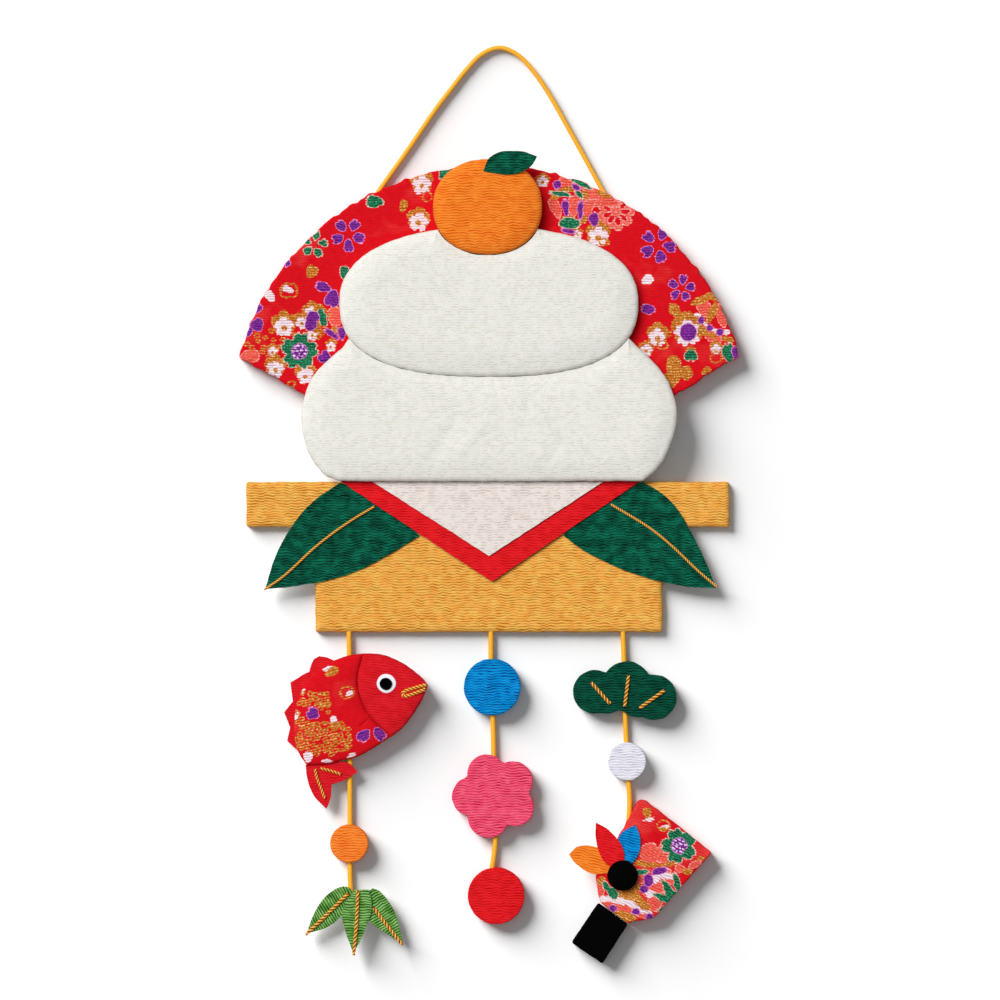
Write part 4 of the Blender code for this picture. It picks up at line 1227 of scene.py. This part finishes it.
# Creases in the cakes and the bream: from, to, how far each rises, and its reach to each side.
LOWER_CREASES = (
    (-11.5, 45.1, -20.8, 30.8, -0.3, 2.2), (-0.2, 47.1, -10.8, 33.4, 0.3, 2.8),
    (25.8, 40.1, 18.5, 30.8, -0.22, 2.2), (12.5, 54.1, 12.5, 47.4, -0.2, 1.8),
    (-43.2, 52.1, -28.2, 54.1, -0.2, 3.0),
)
UPPER_CREASES = ((10.2, 80.8, 6.8, 65.8, -0.15, 2.6), (-9.0, 95.0, -14.0, 84.0, -0.12, 2.6))
BREAM_CREASES = ((-40.0, -53.6, -43.2, -56.4, -0.5, 0.4),)


def creased_crown(name, swell, creases):
    """The crown of a padded piece, with its creases."""
    rise = inflated(name, swell)
    return lambda points: rise(points) + creased(points, creases)


# Fan, cakes, mandarin, stand, leaves and papers, from the back to the front.
panel("fan", FLORAL_CREPE, PRINTED, rim=(0.9, 0.9), blunt=1.0, rough=0.5,
      covers=("upper_mochi", "lower_mochi"), inks=fan_print)
panel("upper_mochi", WHITE_CREPE, MOCHI, rim=(1.7, 1.5), slope=(8, 0.9), grow=0.05,
      butts="mikan", crown=creased_crown("upper_mochi", 1.0, UPPER_CREASES))
panel("lower_mochi", WHITE_CREPE, replace(MOCHI, seed=13), rim=(1.7, 1.4),
      slope=(8, 0.8), grow=0.18, butts="upper_mochi",
      crown=creased_crown("lower_mochi", 1.0, LOWER_CREASES))
panel("mikan", ORANGE_CREPE, replace(PLAIN, seed=31), rim=(1.3, 1.2), slope=(6, 0.8),
      crown=creased_crown("mikan", 0.7, ()))
panel("mikan_leaf", GREEN_CREPE, replace(PLAIN, seed=32))
panel("tray", GOLD_CREPE, replace(PLAIN, seed=33), rim=(1.5, 1.1), slope=(2.5, 0.25),
      blunt=0.8, rough=0.15, covers=("leaf_left", "leaf_right"))
panel("stand", GOLD_CREPE, replace(PLAIN, seed=34), rim=(1.5, 1.1), slope=(3.0, 0.5),
      blunt=0.8, rough=0.15, covers=("leaf_left", "leaf_right", "paper_red"))
panel("leaf_left", GREEN_CREPE, replace(PLAIN, seed=35, sway=0.42))
panel("leaf_right", GREEN_CREPE, replace(PLAIN, seed=36, sway=0.42))
panel("paper_red", RED_CREPE, replace(PLAIN, seed=41, depth=0.08),
      covers=("paper_white",))
panel("paper_white", PALE_CREPE, replace(MOCHI, seed=42))

# On the centre string.
panel("blue_disc", BLUE_CREPE, replace(PLAIN, seed=48), rim=(0.4, 0.6))
panel("plum_flower", PINK_CREPE, replace(PLAIN, seed=51), rim=(0.4, 0.5))
panel("red_disc", RED_CREPE, replace(PLAIN, seed=49), rim=(0.4, 0.6))

# On the left string.
panel("bream_body", FLORAL_CREPE, replace(PRINTED, seed=43, turn=14), rim=(1.2, 1.2),
      slope=(4, 0.4), grow=0.17, crown=creased_crown("bream_body", 0.6, BREAM_CREASES),
      inks=bream_print)
panel("bream_head", BREAM_CREPE, replace(PRINTED, seed=44, turn=-6), rim=(1.2, 1.2),
      slope=(4, 0.4), grow=0.17, crown=creased_crown("bream_head", 0.6, ()))
panel("bream_fin", BREAM_CREPE, replace(PLAIN, seed=45, depth=0.05), grow=0.2)
panel("bream_tail", BREAM_CREPE, replace(PLAIN, seed=46, depth=0.07), grow=0.32,
      rough=0.05)
panel("bream_eye", WHITE_FELT, PILE, rim=(0.3, 0.3))
panel("bream_pupil", BLACK_VELVET, PILE, rim=(0.3, 0.3))
panel("small_disc", SMALL_ORANGE_CREPE, replace(PLAIN, seed=47), rim=(0.4, 0.6))
panel("bamboo_left", BAMBOO_CREPE, replace(BAMBOO, turn=-58))
panel("bamboo_middle", BAMBOO_CREPE, replace(BAMBOO, turn=-2, seed=54))
panel("bamboo_right", BAMBOO_CREPE, replace(BAMBOO, turn=30, seed=55))

# On the right string.
panel("pine", PINE_CREPE, replace(PLAIN, seed=52), rim=(0.3, 0.4))
panel("white_disc", COOL_WHITE_CREPE, replace(PLAIN, seed=50), rim=(0.4, 0.6))
panel("battledore", THIN_FLORAL_CREPE, replace(PLAIN, seed=56, turn=-24),
      rim=(0.9, 0.8), blunt=1.0, rough=0.18, crown=creased_crown("battledore", 0.5, ()),
      inks=battledore_print)
panel("battledore_handle", BLACK_VELVET, PILE, rim=(0.7, 0.7), blunt=0.5, grow=0.28,
      rough=0.08)
panel("feather_orange", ORANGE_CREPE, replace(PLAIN, seed=57, turn=-12))
panel("feather_blue", BLUE_CREPE, replace(PLAIN, seed=58, turn=-15, depth=0.2))
panel("feather_red", RED_CREPE, replace(PLAIN, seed=59, turn=-8, depth=0.1))
panel("shuttle_ball", BLACK_VELVET, PILE, rim=(4.2, 2.9), rough=0.15)

for cord in GOLD_CORDS:
    twisted_cord(*cord)

yellow_cord("hanging_loop", LOOP_ROUTE, LOOP_RADIUS)
yellow_cord("string_left", LEFT_ROUTE, STRING_RADIUS)
yellow_cord("string_centre", CENTRE_ROUTE, STRING_RADIUS)
yellow_cord("string_right", RIGHT_ROUTE, STRING_RADIUS)

# ---------------------------------------------------------------- floor and light

FLOOR_SIZE = 30  # metres, to the horizon of a low view
FLOOR_DROP = 0.02  # below the hanging
SKY = 0.22
LAMP_TURN = math.radians(135)  # from +X, which puts both lamps at the upper left


def add_floor():
    bpy.ops.object.select_all(action="DESELECT")
    bpy.ops.mesh.primitive_plane_add(size=FLOOR_SIZE, location=(0, 0, -FLOOR_DROP * MM))
    floor = bpy.context.object
    floor.name = "floor"
    made, _, shader = new_material("floor_white", 0.9)
    shader.inputs["Base Color"].default_value = linear("#fcfcfc")
    floor.data.materials.append(made)
    return floor


def soft_sun(name, strength, height, spread):
    """A soft lamp, some degrees above the hanging and some degrees across."""
    data = bpy.data.lights.new(name, "SUN")
    data.energy = strength
    data.angle = math.radians(spread)
    light = bpy.data.objects.new(name, data)
    light.rotation_euler = (0, math.radians(90 - height), LAMP_TURN)
    bpy.context.scene.collection.objects.link(light)
    return light


def add_light(floor):
    """Pale light from all round, a high lamp for the hanging, and a low one that lights only the
    floor, so that the hanging's shadow falls wide beside it."""
    world = bpy.data.worlds.new("studio")
    world.use_nodes = True
    sky = world.node_tree.nodes["Background"]
    sky.inputs["Color"].default_value = (1, 1, 1, 1)
    sky.inputs["Strength"].default_value = SKY
    bpy.context.scene.world = world
    ground = bpy.data.collections.new("ground")
    ground.objects.link(floor)
    others = bpy.data.collections.new("all_but_ground")
    others.objects.link(floor)
    others.collection_objects[0].light_linking.link_state = "EXCLUDE"
    high_lamp = soft_sun("high_lamp", strength=3.28, height=60, spread=36)
    high_lamp.light_linking.receiver_collection = others
    low_lamp = soft_sun("low_lamp", strength=8.4, height=18.5, spread=38)
    low_lamp.light_linking.receiver_collection = ground


add_light(add_floor())
bpy.context.scene.view_settings.view_transform = "Standard"
